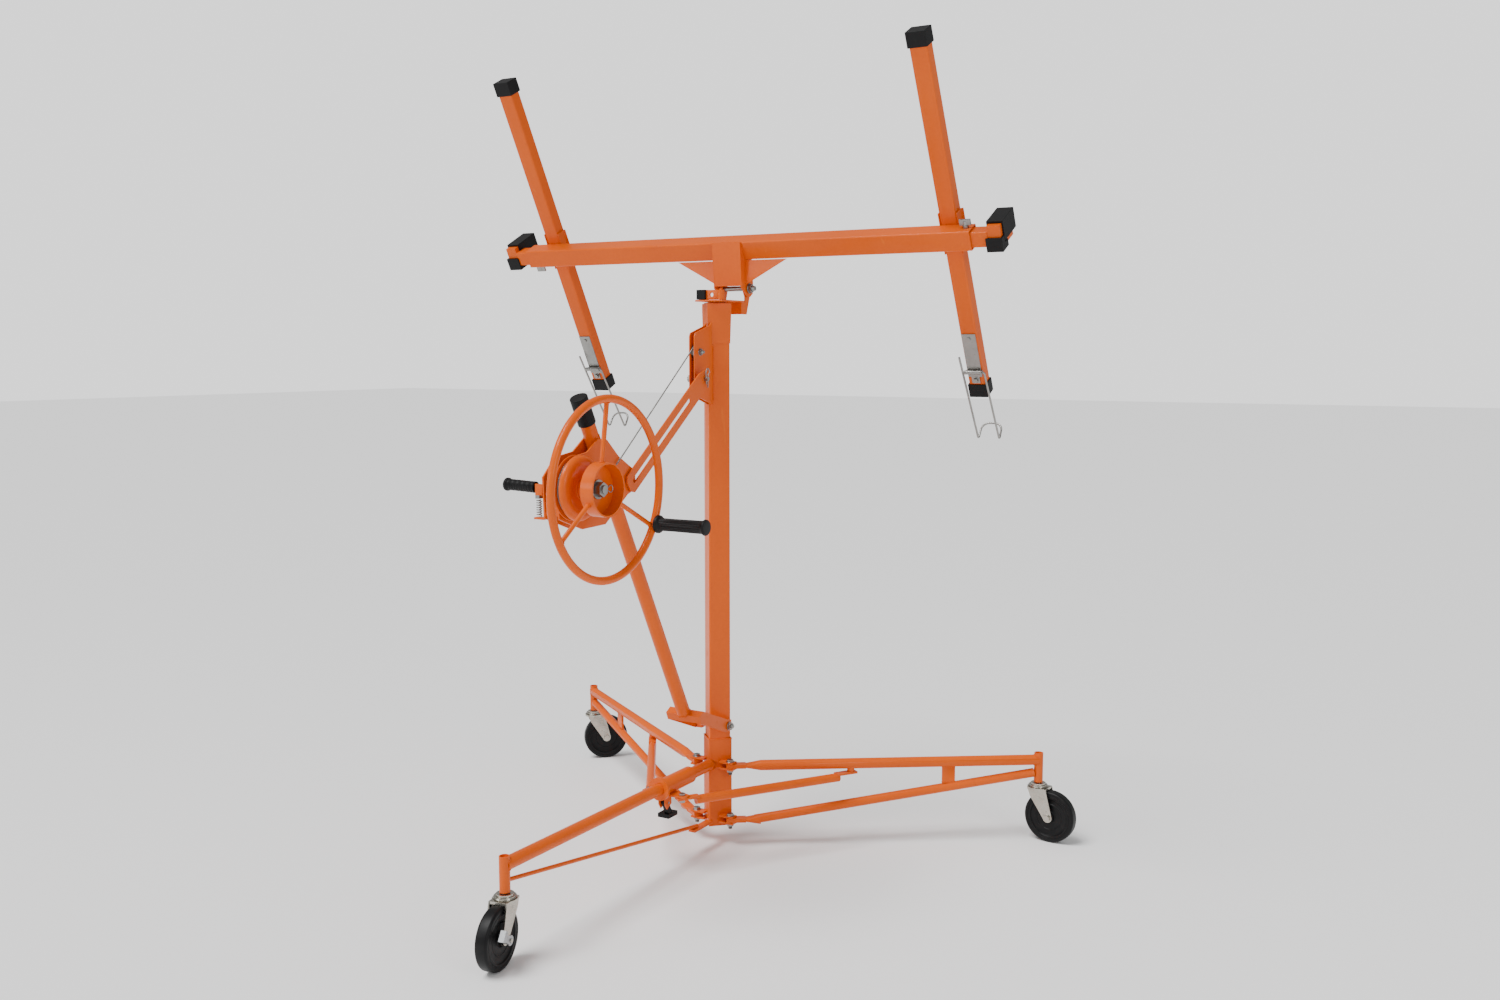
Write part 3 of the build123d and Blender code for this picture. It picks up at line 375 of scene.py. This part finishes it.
def post_seams(post, out, radius):
    """The seams above and below a leg tube, round the outer half of its caster post."""
    aside = Vector((-out.y, out.x, 0))
    seams = []
    for level in (1, -1):
        half_ring = []
        for step in range(17):
            t = pi * step / 16
            sway = post_radius * cos(t)
            rise = (radius ** 2 - sway ** 2) ** 0.5
            point = Vector((post.x, post.y, leg_level + level * rise))
            half_ring.append(point + aside * sway - out * post_radius * sin(t))
        seams.append((half_ring, False))
    return seams


leg_seam = []
for step in range(48):
    t = 2 * pi * step / 48
    leg_seam.append(Vector((leg_radius * cos(t), -(socket_half - abs(leg_radius * cos(t))) - 0.001,
                            leg_level + leg_radius * sin(t))))
bracket_low, bracket_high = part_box("pulley_bracket")
plate_x = 0.0082
mast_corner = 0.052 / 2 ** 0.5
bracket_seams = []
for side in (-1, 1):
    edge_y = plate_x - mast_corner - 0.001
    bracket_seams.append(seam((side * plate_x, edge_y, bracket_low.z + 0.012),
                              (side * plate_x, edge_y, bracket_high.z - 0.062)))
rim = socket_half - 0.002
socket_rim = [Vector((0, -rim, socket_high.z)), Vector((rim, 0, socket_high.z)),
              Vector((0, rim, socket_high.z)), Vector((-rim, 0, socket_high.z))]
front_seams = post_seams(front_post, Vector((0, -1, 0)), leg_radius)
run_tree("base_welds", welds, [(leg_seam, True), *front_seams, *bracket_seams, (socket_rim, True)],
         bead, "base")

# ---------------------------------------------------------------- base legs
# One leg is welded to the socket; the two others turn on bolts through pressed tongues
# and fold beside it. Each is an upper and a lower tube with a flat strut and a caster post.
for node in ("main_leg", "main_leg_brace", "leg_tube_right", "leg_tube_left",
             "leg_brace_right", "leg_brace_left", "fold_link_right", "fold_link_left", "slide_collar"):
    finished(node, paint)

side_tube_radius = 0.0127
strut_at = 0.537
strut_face = 0.0034
strut_foot = 0.1477
half_bead = 0.015
for label in ("right", "left"):
    post = pivot["swivel_" + label]
    hinge = pivot["leg_" + label + "_fold"]
    out = Vector((post.x - hinge.x, post.y - hinge.y, 0)).normalized()
    aside = Vector((-out.y, out.x, 0))
    seams = post_seams(post, out, side_tube_radius)
    strut = Vector((hinge.x, hinge.y, 0)) + out * strut_at
    for face in (-strut_face, strut_face):
        for level in (leg_level - side_tube_radius + 0.0008, strut_foot):
            middle = strut + aside * face + Vector((0, 0, level))
            seams.append(seam(middle - out * half_bead, middle + out * half_bead))
    run_tree("leg_welds_" + label, welds, seams, bead, "leg_" + label)


# ---------------------------------------------------------------- plated steel
# Bolts, nuts, pins, clips and hooks are zinc plated, which leaves them pale grey, slightly
# brushed and cloudy. The caster forks are brighter and warmer, and the cast foot lever
# is a duller grey.
def plated(name, shade, tint, rough):
    """Metal with a fine brushed grain and a cloudy film."""
    metal = Finish(name, {"Metallic": 1.0, "IOR": 2.0})
    film = metal.noise(60, 4)
    grain = metal.noise(900, 2, (1, 1, 0.06))
    stain = metal.mask(metal.noise(160, 5), 0.58, 0.72)
    clean = metal.blend(film, shade, tint)
    metal.feed("Base Color", metal.blend(stain * 0.30, clean, (0.18, 0.16, 0.13, 1)))
    metal.feed("Roughness", rough + film * 0.16 + stain * 0.15)
    metal.bump(grain * 0.6 + film * 0.4, 0.16, 0.0003)
    return metal


zinc = plated("zinc_plate", (0.36, 0.35, 0.33, 1), (0.24, 0.24, 0.23, 1), 0.24)
nickel = plated("bright_pressed_steel", (0.56, 0.53, 0.47, 1), (0.38, 0.36, 0.31, 1), 0.18)
cast_grey = plated("cast_grey", (0.46, 0.47, 0.48, 1), (0.36, 0.37, 0.38, 1), 0.40)
for node in ("base_bolts", "collar_bolts", "strut_hitch_pin", "winch_shaft", "ratchet_gear", "tilt_bolt",
             "hook_clips", "clamp_screw_right", "clamp_screw_left", "brake_lever"):
    finished(node, zinc, 0.0005)
for node in ("board_hook_right", "board_hook_left", "cable_pulley"):
    finished(node, zinc, 0)


# ---------------------------------------------------------------- washers and bolt tips
# A plain washer lies under each bolt head and nut, and the bolt's threaded tip
# stands a few millimetres out of the nut.
def lathe(name, profile, centre, axis, finish, steps=48, flutes=0):
    """A closed outline of (along, radius[, flute depth]) turned round an axis."""
    axis = Vector(axis).normalized()
    first, second = across(axis)
    verts = []
    for i in range(steps):
        t = 2 * pi * i / steps
        spoke = first * cos(t) + second * sin(t)
        for along, radius, *groove in profile:
            depth = groove[0] if groove else 0
            cut = depth * (0.5 - 0.5 * cos(flutes * t))
            verts.append(Vector(centre) + axis * along + spoke * (radius - cut))
    count = len(profile)
    faces = []
    for i in range(steps):
        for j in range(count):
            a, b = i * count, (i + 1) % steps * count
            faces.append((a + j, b + j, b + (j + 1) % count, a + (j + 1) % count))
    mesh = bpy.data.meshes.new(name)
    mesh.from_pydata(verts, [], faces)
    shape = bmesh.new()
    shape.from_mesh(mesh)
    bmesh.ops.recalc_face_normals(shape, faces=shape.faces)
    shape.to_mesh(mesh)
    shape.free()
    mesh.shade_smooth()
    mesh.set_sharp_from_angle(angle=radians(34))
    mesh.materials.append(finish.material)
    piece = bpy.data.objects.new(name, mesh)
    bpy.context.collection.objects.link(piece)
    return piece


def join(name, parts, body):
    """Several small parts kept as one piece."""
    shape = bmesh.new()
    for part in parts:
        shape.from_mesh(part.data)
    mesh = bpy.data.meshes.new(name)
    shape.to_mesh(mesh)
    shape.free()
    mesh.materials.append(parts[0].data.materials[0])
    for part in parts:
        bpy.data.objects.remove(part)
    piece = bpy.data.objects.new(name, mesh)
    bpy.context.collection.objects.link(piece)
    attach(piece, body)
    return piece


def washer(centre, axis, bore, outside, thickness=0.0014):
    edge = 0.0003
    outline = [(0, bore), (0, outside - edge), (edge, outside), (thickness - edge, outside),
               (thickness, outside - edge), (thickness, bore)]
    return lathe("washer", outline, centre, axis, zinc, 32)


def thread_tip(centre, axis, radius, length):
    """The end of a bolt: turned threads and a chamfer."""
    pitch = 0.00125
    outline = [(-0.002, 0.0004), (-0.002, radius)]
    for turn in range(int(length / pitch)):
        outline.append((turn * pitch, radius - 0.0006))
        outline.append(((turn + 0.5) * pitch, radius))
    outline.append((length, radius - 0.0009))
    outline.append((length, 0.0004))
    return lathe("thread_tip", outline, centre, axis, zinc, 24)


hinge_half = 0.0097
low_hinge = 0.065
yoke_face = 0.0476
pulley_face = 0.008
base_hardware = []
for side in (-1, 1):
    for level in (leg_level, low_hinge):
        pin = Vector((side * pivot["leg_right_fold"].x, pivot["leg_right_fold"].y, level))
        for way in (-1, 1):
            face = pin + Vector((0, 0, way * hinge_half))
            base_hardware.append(washer(face, (0, 0, way), 0.0055, 0.0105))
        base_hardware.append(thread_tip(pin - Vector((0, 0, hinge_half + 0.006)), (0, 0, -1), 0.005, 0.007))
    yoke_end = pivot["winch_fold"] + Vector((side * yoke_face, 0, 0))
    base_hardware.append(washer(yoke_end, (side, 0, 0), 0.0055, 0.0105, 0.0012))
    pulley_end = pivot["pulley_spin"] + Vector((side * pulley_face, 0, 0))
    base_hardware.append(washer(pulley_end, (side, 0, 0), 0.0042, 0.0090))
base_hardware.append(thread_tip(pivot["winch_fold"] + Vector((0.0545, 0, 0)), (1, 0, 0), 0.005, 0.005))
base_hardware.append(thread_tip(pivot["pulley_spin"] + Vector((0.013, 0, 0)), (1, 0, 0), 0.004, 0.006))
join("base_washers", base_hardware, "base")


# ---------------------------------------------------------------- casters
# Five-inch wheels of hard black rubber on plated pressed-steel forks. The front one
# has a cast foot lever on its axle that locks the wheel.
def matt_black(name, shade, rough, grain_scale, depth):
    """Black rubber or plastic with a moulded grain and a little pale dust."""
    rubber = Finish(name, {"IOR": 1.30})
    grain = rubber.noise(grain_scale, 3)
    haze = rubber.mask(rubber.noise(45, 4), 0.50, 0.75)
    rubber.feed("Base Color", rubber.blend(haze * 0.30, shade, (0.020, 0.019, 0.018, 1)))
    rubber.feed("Roughness", rough + grain * 0.12 + haze * 0.10)
    rubber.bump(grain, 0.25, depth)
    return rubber


tyre_rubber = matt_black("hard_wheel_rubber", (0.004, 0.004, 0.0045, 1), 0.36, 500, 0.0004)
moulded = matt_black("moulded_cap_rubber", (0.004, 0.004, 0.0045, 1), 0.48, 900, 0.0004)
WHEEL = 0.0635
HALF_TREAD = 0.014
RACE_LEVEL = 0.1348


def tyre_outline():
    """Half section of the wheel: hub, thin web, rim with a bead line and the tread."""
    hub, bore, web, recess = 0.0140, 0.00406, 0.0100, 0.0470
    half = [(0.0174, bore), (0.0174, hub - 0.001), (0.0166, hub), (web + 0.0015, hub + 0.001),
            (web, hub + 0.003), (web, 0.030), (web + 0.0008, 0.031), (web + 0.0008, 0.033), (web, 0.034),
            (web, recess - 0.003), (web + 0.0012, recess - 0.0008), (HALF_TREAD - 0.0008, recess),
            (HALF_TREAD, recess + 0.0010), (HALF_TREAD, 0.0525), (HALF_TREAD - 0.0007, 0.0530),
            (HALF_TREAD - 0.0007, 0.0540), (HALF_TREAD, 0.0545)]
    shoulder = 0.0060
    for step in range(7):
        t = pi / 2 * step / 6
        half.append((HALF_TREAD - shoulder + shoulder * cos(t), WHEEL - shoulder + shoulder * sin(t)))
    return half + [(-along, radius) for along, radius in reversed(half)]


for label in ("front", "right", "left"):
    finished("caster_fork_" + label, nickel, 0.0008)
    hub = pivot["roll_" + label]
    axle = turn_axis["roll_" + label]
    wheel = lathe("caster_tyre_" + label, tyre_outline(), hub, axle, tyre_rubber, 96)
    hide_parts("caster_wheel_" + label)
    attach(wheel, "roller_" + label)
    stem = pivot["swivel_" + label]
    rings = [lathe("race", [(0, 0.0172), (0, 0.0232), (0.0012, 0.0240), (0.0026, 0.0232), (0.0026, 0.0172)],
                   (stem.x, stem.y, RACE_LEVEL), (0, 0, 1), nickel, 48)]
    rings += [washer(hub + axle * side * 0.0210, axle * side, 0.0042, 0.0085) for side in (-1, 1)]
    join("caster_race_" + label, rings, "caster_" + label)
finished("caster_brake", cast_grey, 0.0012)

# ---------------------------------------------------------------- pedal
# The pedal that frees the collar is a small bent plate with a ribbed rubber tread.
finished("foot_pedal", moulded, 0.0012)

# ---------------------------------------------------------------- winch frame and brace
# A round tube leans from the yoke on the mast to its capped upper end. Two plates welded
# to it carry the winch, and a flat slotted brace holds it off the mast.
for node in ("winch_tube", "winch_yoke", "winch_plates", "strut_bar"):
    finished(node, paint)
finished("winch_tube_cap", moulded, 0.0020)

shaft = pivot["wheel_turn"]
tube_foot = Vector((0, -0.150, 0.352))
tube_head = Vector((0, -0.540, 1.104))
lean = (tube_head - tube_foot).normalized()
over = Vector((0, lean.z, -lean.y))
winch_tube_radius = 0.016
plate_seams = []
for side in (-1, 1):
    for face in (-1, 1):
        edge = Vector((side * (winch_tube_radius - 0.0008), 0, 0)) + over * face * 0.006
        start = tube_foot + lean * 0.590
        plate_seams.append(seam(start + edge, start + lean * 0.170 + edge))
plate_seams.append(ring(tube_foot + lean * 0.004, lean, winch_tube_radius + 0.0006))
run_tree("winch_welds", welds, plate_seams, bead, "winch")

# ---------------------------------------------------------------- hand wheel
# A bent and welded tube rim on three round spokes, with a deep hub cup. The shaft's
# nut, washer and split pin sit inside the cup.
for node in ("hand_wheel_rim", "hand_wheel_hub"):
    finished(node, paint, 0.0006)

rim_x = 0.110
rim_radius = 0.182
cup_radius = 0.055
spoke_seams = []
for angle in (90, -30, 210):
    ray = Vector((0, cos(radians(angle)), sin(radians(angle))))
    inner = shaft + Vector((0.0965, 0, 0)) + ray * (cup_radius + 0.0004)
    outer = shaft + Vector((rim_x - 0.0006, 0, 0)) + ray * (rim_radius - 0.0086)
    spoke_seams.append(ring(inner, ray, 0.0054, 24))
    spoke_seams.append(ring(outer, ray, 0.0054, 24))
grip_angle = atan2(pivot["grip_spin"].z - shaft.z, pivot["grip_spin"].y - shaft.y)
grip_ray = Vector((0, cos(grip_angle), sin(grip_angle)))
spindle_foot = shaft + Vector((rim_x + 0.0084, 0, 0)) + grip_ray * rim_radius
spoke_seams.append(ring(spindle_foot, (1, 0, 0), 0.0055, 24))
small_bead = {**bead, "Bead Radius": 0.0014, "Ripple": 0.0017}
run_tree("hand_wheel_welds", welds, spoke_seams, small_bead, "hand_wheel")

neck_outline = [(0.0522, 0.0152), (0.0522, 0.0225), (0.0545, 0.0205), (0.0580, 0.0182), (0.0640, 0.0170),
                (0.0760, 0.0170), (0.0790, 0.0185), (0.0815, 0.0215), (0.0818, 0.0152)]
neck = lathe("winch_neck", neck_outline, shaft, (1, 0, 0), paint, 48)
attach(neck, "hand_wheel")


def bent_wire(name, places, radius, finish):
    """A round wire bent through a row of places."""
    line = bpy.data.curves.new(name, "CURVE")
    line.dimensions = "3D"
    line.bevel_depth = radius
    line.bevel_resolution = 2
    line.use_fill_caps = True
    spline = line.splines.new("POLY")
    spline.points.add(len(places) - 1)
    for point, place in zip(spline.points, places):
        point.co = (*place, 1)
    seed = bpy.data.objects.new(name + "_seed", line)
    bpy.context.collection.objects.link(seed)
    mesh = bpy.data.meshes.new_from_object(seed.evaluated_get(bpy.context.evaluated_depsgraph_get()))
    bpy.data.objects.remove(seed)
    mesh.shade_smooth()
    mesh.materials.clear()
    mesh.materials.append(finish.material)
    piece = bpy.data.objects.new(name, mesh)
    bpy.context.collection.objects.link(piece)
    return piece


cup_floor = 0.0853
nut_face = 0.1005
cup_hardware = [washer(shaft + Vector((cup_floor, 0, 0)), (1, 0, 0), 0.0095, 0.0200, 0.0024),
                thread_tip(shaft + Vector((nut_face, 0, 0)), (1, 0, 0), 0.0088, 0.0034)]
end_ring = [(0.1002, 0.0044), (0.1002, 0.0092), (0.1038, 0.0088), (0.1040, 0.0060), (0.1036, 0.0044)]
cup_hardware.append(lathe("shaft_bore", end_ring, shaft, (1, 0, 0), zinc, 32))
loop_radius = 0.0075
clip_loop = [shaft + Vector((0.0950, 0.0120, 0.0030))]
for step in range(13):
    t = radians(150 - 300 * step / 12)
    clip_loop.append(shaft + Vector((0.0975, 0.0260 + loop_radius * cos(t), loop_radius * sin(t))))
clip_loop.append(shaft + Vector((0.0950, 0.0120, -0.0030)))
cup_hardware.append(bent_wire("split_pin", clip_loop, 0.0013, zinc))
join("hub_nut_washer", cup_hardware, "hand_wheel")


# ---------------------------------------------------------------- wire rope
# The lifting rope is six steel strands laid round a core. It winds on the drum between
# its flanges, runs up to the pulley and turns into the mast.
def rope_tree():
    """Geometry Nodes: six round strands twisted along a path."""
    tree = bpy.data.node_groups.new("wire_rope", "GeometryNodeTree")
    faces = tree.interface
    faces.new_socket("Geometry", in_out="INPUT", socket_type="NodeSocketGeometry")
    faces.new_socket("Rope Radius", in_out="INPUT", socket_type="NodeSocketFloat")
    faces.new_socket("Lay", in_out="INPUT", socket_type="NodeSocketFloat")
    faces.new_socket("Finish", in_out="INPUT", socket_type="NodeSocketMaterial")
    faces.new_socket("Geometry", in_out="OUTPUT", socket_type="NodeSocketGeometry")
    made = {}
    for label, kind in (("in", "NodeGroupInput"), ("even", "GeometryNodeResampleCurve"),
                        ("step", "ShaderNodeMath"), ("third", "ShaderNodeMath"),
                        ("two_thirds", "ShaderNodeMath"),
                        ("param", "GeometryNodeSplineParameter"), ("turns", "ShaderNodeMath"),
                        ("angle", "ShaderNodeMath"), ("tilt", "GeometryNodeSetCurveTilt"),
                        ("strand", "GeometryNodeCurvePrimitiveCircle"),
                        ("layout", "GeometryNodeCurvePrimitiveCircle"),
                        ("place", "GeometryNodeInstanceOnPoints"),
                        ("section", "GeometryNodeRealizeInstances"),
                        ("skin", "GeometryNodeCurveToMesh"), ("smooth", "GeometryNodeSetShadeSmooth"),
                        ("real", "GeometryNodeRealizeInstances"), ("coat", "GeometryNodeSetMaterial"),
                        ("out", "NodeGroupOutput")):
        made[label] = tree.nodes.new(kind)
    made["even"].mode = "LENGTH"
    for label, operation, value in (("step", "DIVIDE", 9), ("third", "DIVIDE", 3),
                                    ("two_thirds", "MULTIPLY", 0.64), ("turns", "DIVIDE", 1),
                                    ("angle", "MULTIPLY", 2 * pi)):
        made[label].operation = operation
        made[label].inputs[1].default_value = value
    made["strand"].inputs["Resolution"].default_value = 6
    made["layout"].inputs["Resolution"].default_value = 6
    link = tree.links.new
    link(made["in"].outputs["Lay"], made["step"].inputs[0])
    link(made["in"].outputs["Rope Radius"], made["third"].inputs[0])
    link(made["in"].outputs["Rope Radius"], made["two_thirds"].inputs[0])
    link(made["in"].outputs["Geometry"], made["even"].inputs["Curve"])
    link(made["step"].outputs[0], made["even"].inputs["Length"])
    link(made["param"].outputs["Length"], made["turns"].inputs[0])
    link(made["in"].outputs["Lay"], made["turns"].inputs[1])
    link(made["turns"].outputs[0], made["angle"].inputs[0])
    link(made["even"].outputs["Curve"], made["tilt"].inputs["Curve"])
    link(made["angle"].outputs[0], made["tilt"].inputs["Tilt"])
    link(made["third"].outputs[0], made["strand"].inputs["Radius"])
    link(made["two_thirds"].outputs[0], made["layout"].inputs["Radius"])
    link(made["layout"].outputs["Curve"], made["place"].inputs["Points"])
    link(made["strand"].outputs["Curve"], made["place"].inputs["Instance"])
    link(made["place"].outputs["Instances"], made["section"].inputs["Geometry"])
    link(made["tilt"].outputs["Curve"], made["skin"].inputs["Curve"])
    link(made["section"].outputs["Geometry"], made["skin"].inputs["Profile Curve"])
    made["skin"].inputs["Fill Caps"].default_value = True
    link(made["skin"].outputs["Mesh"], made["smooth"].inputs["Geometry"])
    link(made["smooth"].outputs["Geometry"], made["real"].inputs["Geometry"])
    link(made["real"].outputs["Geometry"], made["coat"].inputs["Geometry"])
    link(made["in"].outputs["Finish"], made["coat"].inputs["Material"])
    link(made["coat"].outputs["Geometry"], made["out"].inputs["Geometry"])
    return tree


rope_steel = plated("galvanised_rope", (0.42, 0.42, 0.40, 1), (0.28, 0.28, 0.26, 1), 0.34)
rope = {"Rope Radius": 0.00175, "Lay": 0.021, "Finish": rope_steel.material}
ropes = rope_tree()
ROPE_RISE = radians(36)
ROPE_DIP = radians(12)
wrap_radius = 0.01855
drum_radius = 0.055
pulley = pivot["pulley_spin"]
reach = wrap_radius / cos((ROPE_RISE + ROPE_DIP) / 2)
bisector = pi / 2 + (ROPE_RISE - ROPE_DIP) / 2
corner = pulley + Vector((0, reach * cos(bisector), reach * sin(bisector)))
drum_track = drum_radius + rope["Rope Radius"] + 0.0003
to_corner = corner - shaft
leave = atan2(to_corner.z, to_corner.y) - acos(drum_track / hypot(to_corner.y, to_corner.z))
rope_start = shaft + Vector((0.033, drum_track * cos(leave), drum_track * sin(leave)))
upward = (corner - rope_start).normalized()
climb = atan2(upward.z, upward.y)
route = [rope_start]
for step in range(13):
    t = pi / 2 + climb - (climb + ROPE_DIP) * step / 12
    route.append(pulley + Vector((0, wrap_radius * cos(t), wrap_radius * sin(t))))
corner_y = 0.0015 - mast_corner
last = route[-1]
route.append(Vector((0, corner_y, last.z - (corner_y - last.y) * sin(ROPE_DIP) / cos(ROPE_DIP))))
cable = run_tree("wire_rope_run", ropes, [(route, False)], rope, None)
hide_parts("lift_cable")
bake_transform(cable)

coil = []
COIL_TURNS = 3
COIL_STEPS = 60
COIL_PITCH = 0.0036
for step in range(COIL_TURNS * COIL_STEPS + 1):
    t = leave - 2 * pi * step / COIL_STEPS
    across_drum = 0.0335 - COIL_PITCH * step / COIL_STEPS + COIL_PITCH
    coil.append(shaft + Vector((min(across_drum, 0.0362), drum_track * cos(t), drum_track * sin(t))))
run_tree("wire_rope_coil", ropes, [(coil, False)], rope, "hand_wheel")

# ---------------------------------------------------------------- cable drum
# The drum is pressed from sheet: a flat inner flange, a core for the rope and an outer
# cup with a broad rounded shoulder, all in the orange coat.
flange = 0.067
shoulder = 0.014
dome = []
for step in range(9):
    t = pi / 2 * step / 8
    dome.append((0.040 + 0.0118 * sin(t), flange - shoulder + shoulder * cos(t)))
drum_outline = [(0.0241, 0.0092), (0.0241, flange - 0.001), (0.0251, flange), (0.0262, flange),
                (0.0270, flange - 0.001), (0.0272, drum_radius), (0.0378, drum_radius),
                (0.0382, flange - 0.001), (0.0388, flange), *dome,
                (0.0515, 0.046), (0.0498, 0.043), (0.0494, 0.030), (0.0500, 0.0262), (0.0519, 0.0245),
                (0.0519, 0.0152), (0.0500, 0.0092)]
drum = lathe("rope_drum", drum_outline, shaft, (1, 0, 0), paint, 96)
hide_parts("cable_drum")
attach(drum, "hand_wheel")

# ---------------------------------------------------------------- grips
# Soft black rubber: the wheel's grip turns on its spindle and has flutes, a base flange
# and an end ring; the brake lever's grip has finger rings and a round end.
grip_rubber = matt_black("fluted_grip_rubber", (0.004, 0.004, 0.0045, 1), 0.42, 1100, 0.0003)
grip_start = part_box("wheel_grip")[0].x
grip_outline = [(0, 0.00506), (0, 0.0180), (0.0012, 0.0190), (0.0052, 0.0190), (0.0070, 0.0182),
                (0.0085, 0.0158), (0.0105, 0.0140), (0.0130, 0.0137, 0.0009), (0.0400, 0.0134, 0.0011),
                (0.0640, 0.0136, 0.0011), (0.0900, 0.0139, 0.0011), (0.1100, 0.0139, 0.0009),
                (0.1130, 0.0140), (0.1150, 0.0146), (0.1165, 0.0160), (0.1180, 0.0169), (0.1200, 0.0169),
                (0.1218, 0.0162), (0.1230, 0.0148), (0.1234, 0.0100), (0.1234, 0.0004),
                (0.1227, 0.0004), (0.1227, 0.00506)]
grip = lathe("wheel_grip_rubber", grip_outline, (grip_start, pivot["grip_spin"].y, pivot["grip_spin"].z),
             (1, 0, 0), grip_rubber, 120, flutes=20)
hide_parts("wheel_grip")
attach(grip, "grip")

lever = pivot["brake_lever_press"]
lever_start = lever + Vector((-0.016, 0, 0.00045))
lever_end = lever + Vector((-0.0945, 0, 0.00330))
lever_length = (lever_end - lever_start).length
brake_outline = [(0, 0.0051), (0, 0.0105), (0.0010, 0.0118), (0.0030, 0.0118)]
RING_STEPS = 35
for step in range(RING_STEPS + 1):
    along = 0.004 + 0.064 * step / RING_STEPS
    brake_outline.append((along, 0.0112 + 0.0007 * sin(2 * pi * step / 3.5)))
brake_outline += [(0.0700, 0.0120), (0.0716, 0.0136), (0.0740, 0.0139), (0.0764, 0.0134),
                  (lever_length - 0.0004, 0.0115), (lever_length, 0.0080), (lever_length, 0.0010),
                  (lever_length - 0.009, 0.0010), (lever_length - 0.009, 0.0051)]
brake_grip = lathe("brake_grip_rubber", brake_outline, lever_start, lever_end - lever_start, grip_rubber, 64)
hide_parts("brake_grip")
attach(brake_grip, "brake_handle")

# ---------------------------------------------------------------- brake spring
# A bright coil spring stands on the bracket's foot plate and lifts the brake lever.
spring_low, spring_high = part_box("brake_spring")
spring_axis = (spring_low + spring_high) / 2
wire_radius = 0.0011
spring_radius = (spring_high.x - spring_low.x) / 2 - wire_radius
spring_path = []
COILS = 7
SPRING_STEPS = 24
spring_rise = spring_high.z - spring_low.z - 2 * wire_radius
for step in range(COILS * SPRING_STEPS + 1):
    t = 2 * pi * step / SPRING_STEPS
    height = spring_low.z + wire_radius + spring_rise * step / (COILS * SPRING_STEPS)
    spring_path.append(Vector((spring_axis.x + spring_radius * cos(t),
                               spring_axis.y + spring_radius * sin(t), height)))
spring = bent_wire("brake_spring_wire", spring_path, wire_radius, zinc)
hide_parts("brake_spring")
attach(spring, "winch")
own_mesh(spring)

# ---------------------------------------------------------------- head and latch
# A saddle on the inner tube carries the tilting bracket on one long bolt. A latch in the
# same orange coat, with a black block, holds the cradle at its loading angle.
for node in ("head_saddle", "tilt_latch"):
    finished(node, paint)
finished("latch_knob", moulded, 0.0015)
tilt = pivot["cradle_tilt"]
saddle_face = 0.0411
head_hardware = [washer(tilt + Vector((side * saddle_face, 0, 0)), (side, 0, 0), 0.0062, 0.0125)
                 for side in (-1, 1)]
head_hardware.append(thread_tip(tilt + Vector((0.049, 0, 0)), (1, 0, 0), 0.006, 0.008))
join("tilt_washers", head_hardware, "top_stage")

# ---------------------------------------------------------------- cradle
# A square crossbar with two gussets, two long arms bolted across its ends in flared
# channels, tubes that slide out of its ends, rubber caps, and wire hooks for the board.
for node in ("crossbar", "tilt_bracket", "arm_brackets", "arm_right", "arm_left",
             "extension_right", "extension_left"):
    finished(node, paint, 0.0008)
finished("arm_caps", moulded, 0.0026)
for node in ("extension_pads_right", "extension_pads_left"):
    finished(node, moulded, 0.0040)
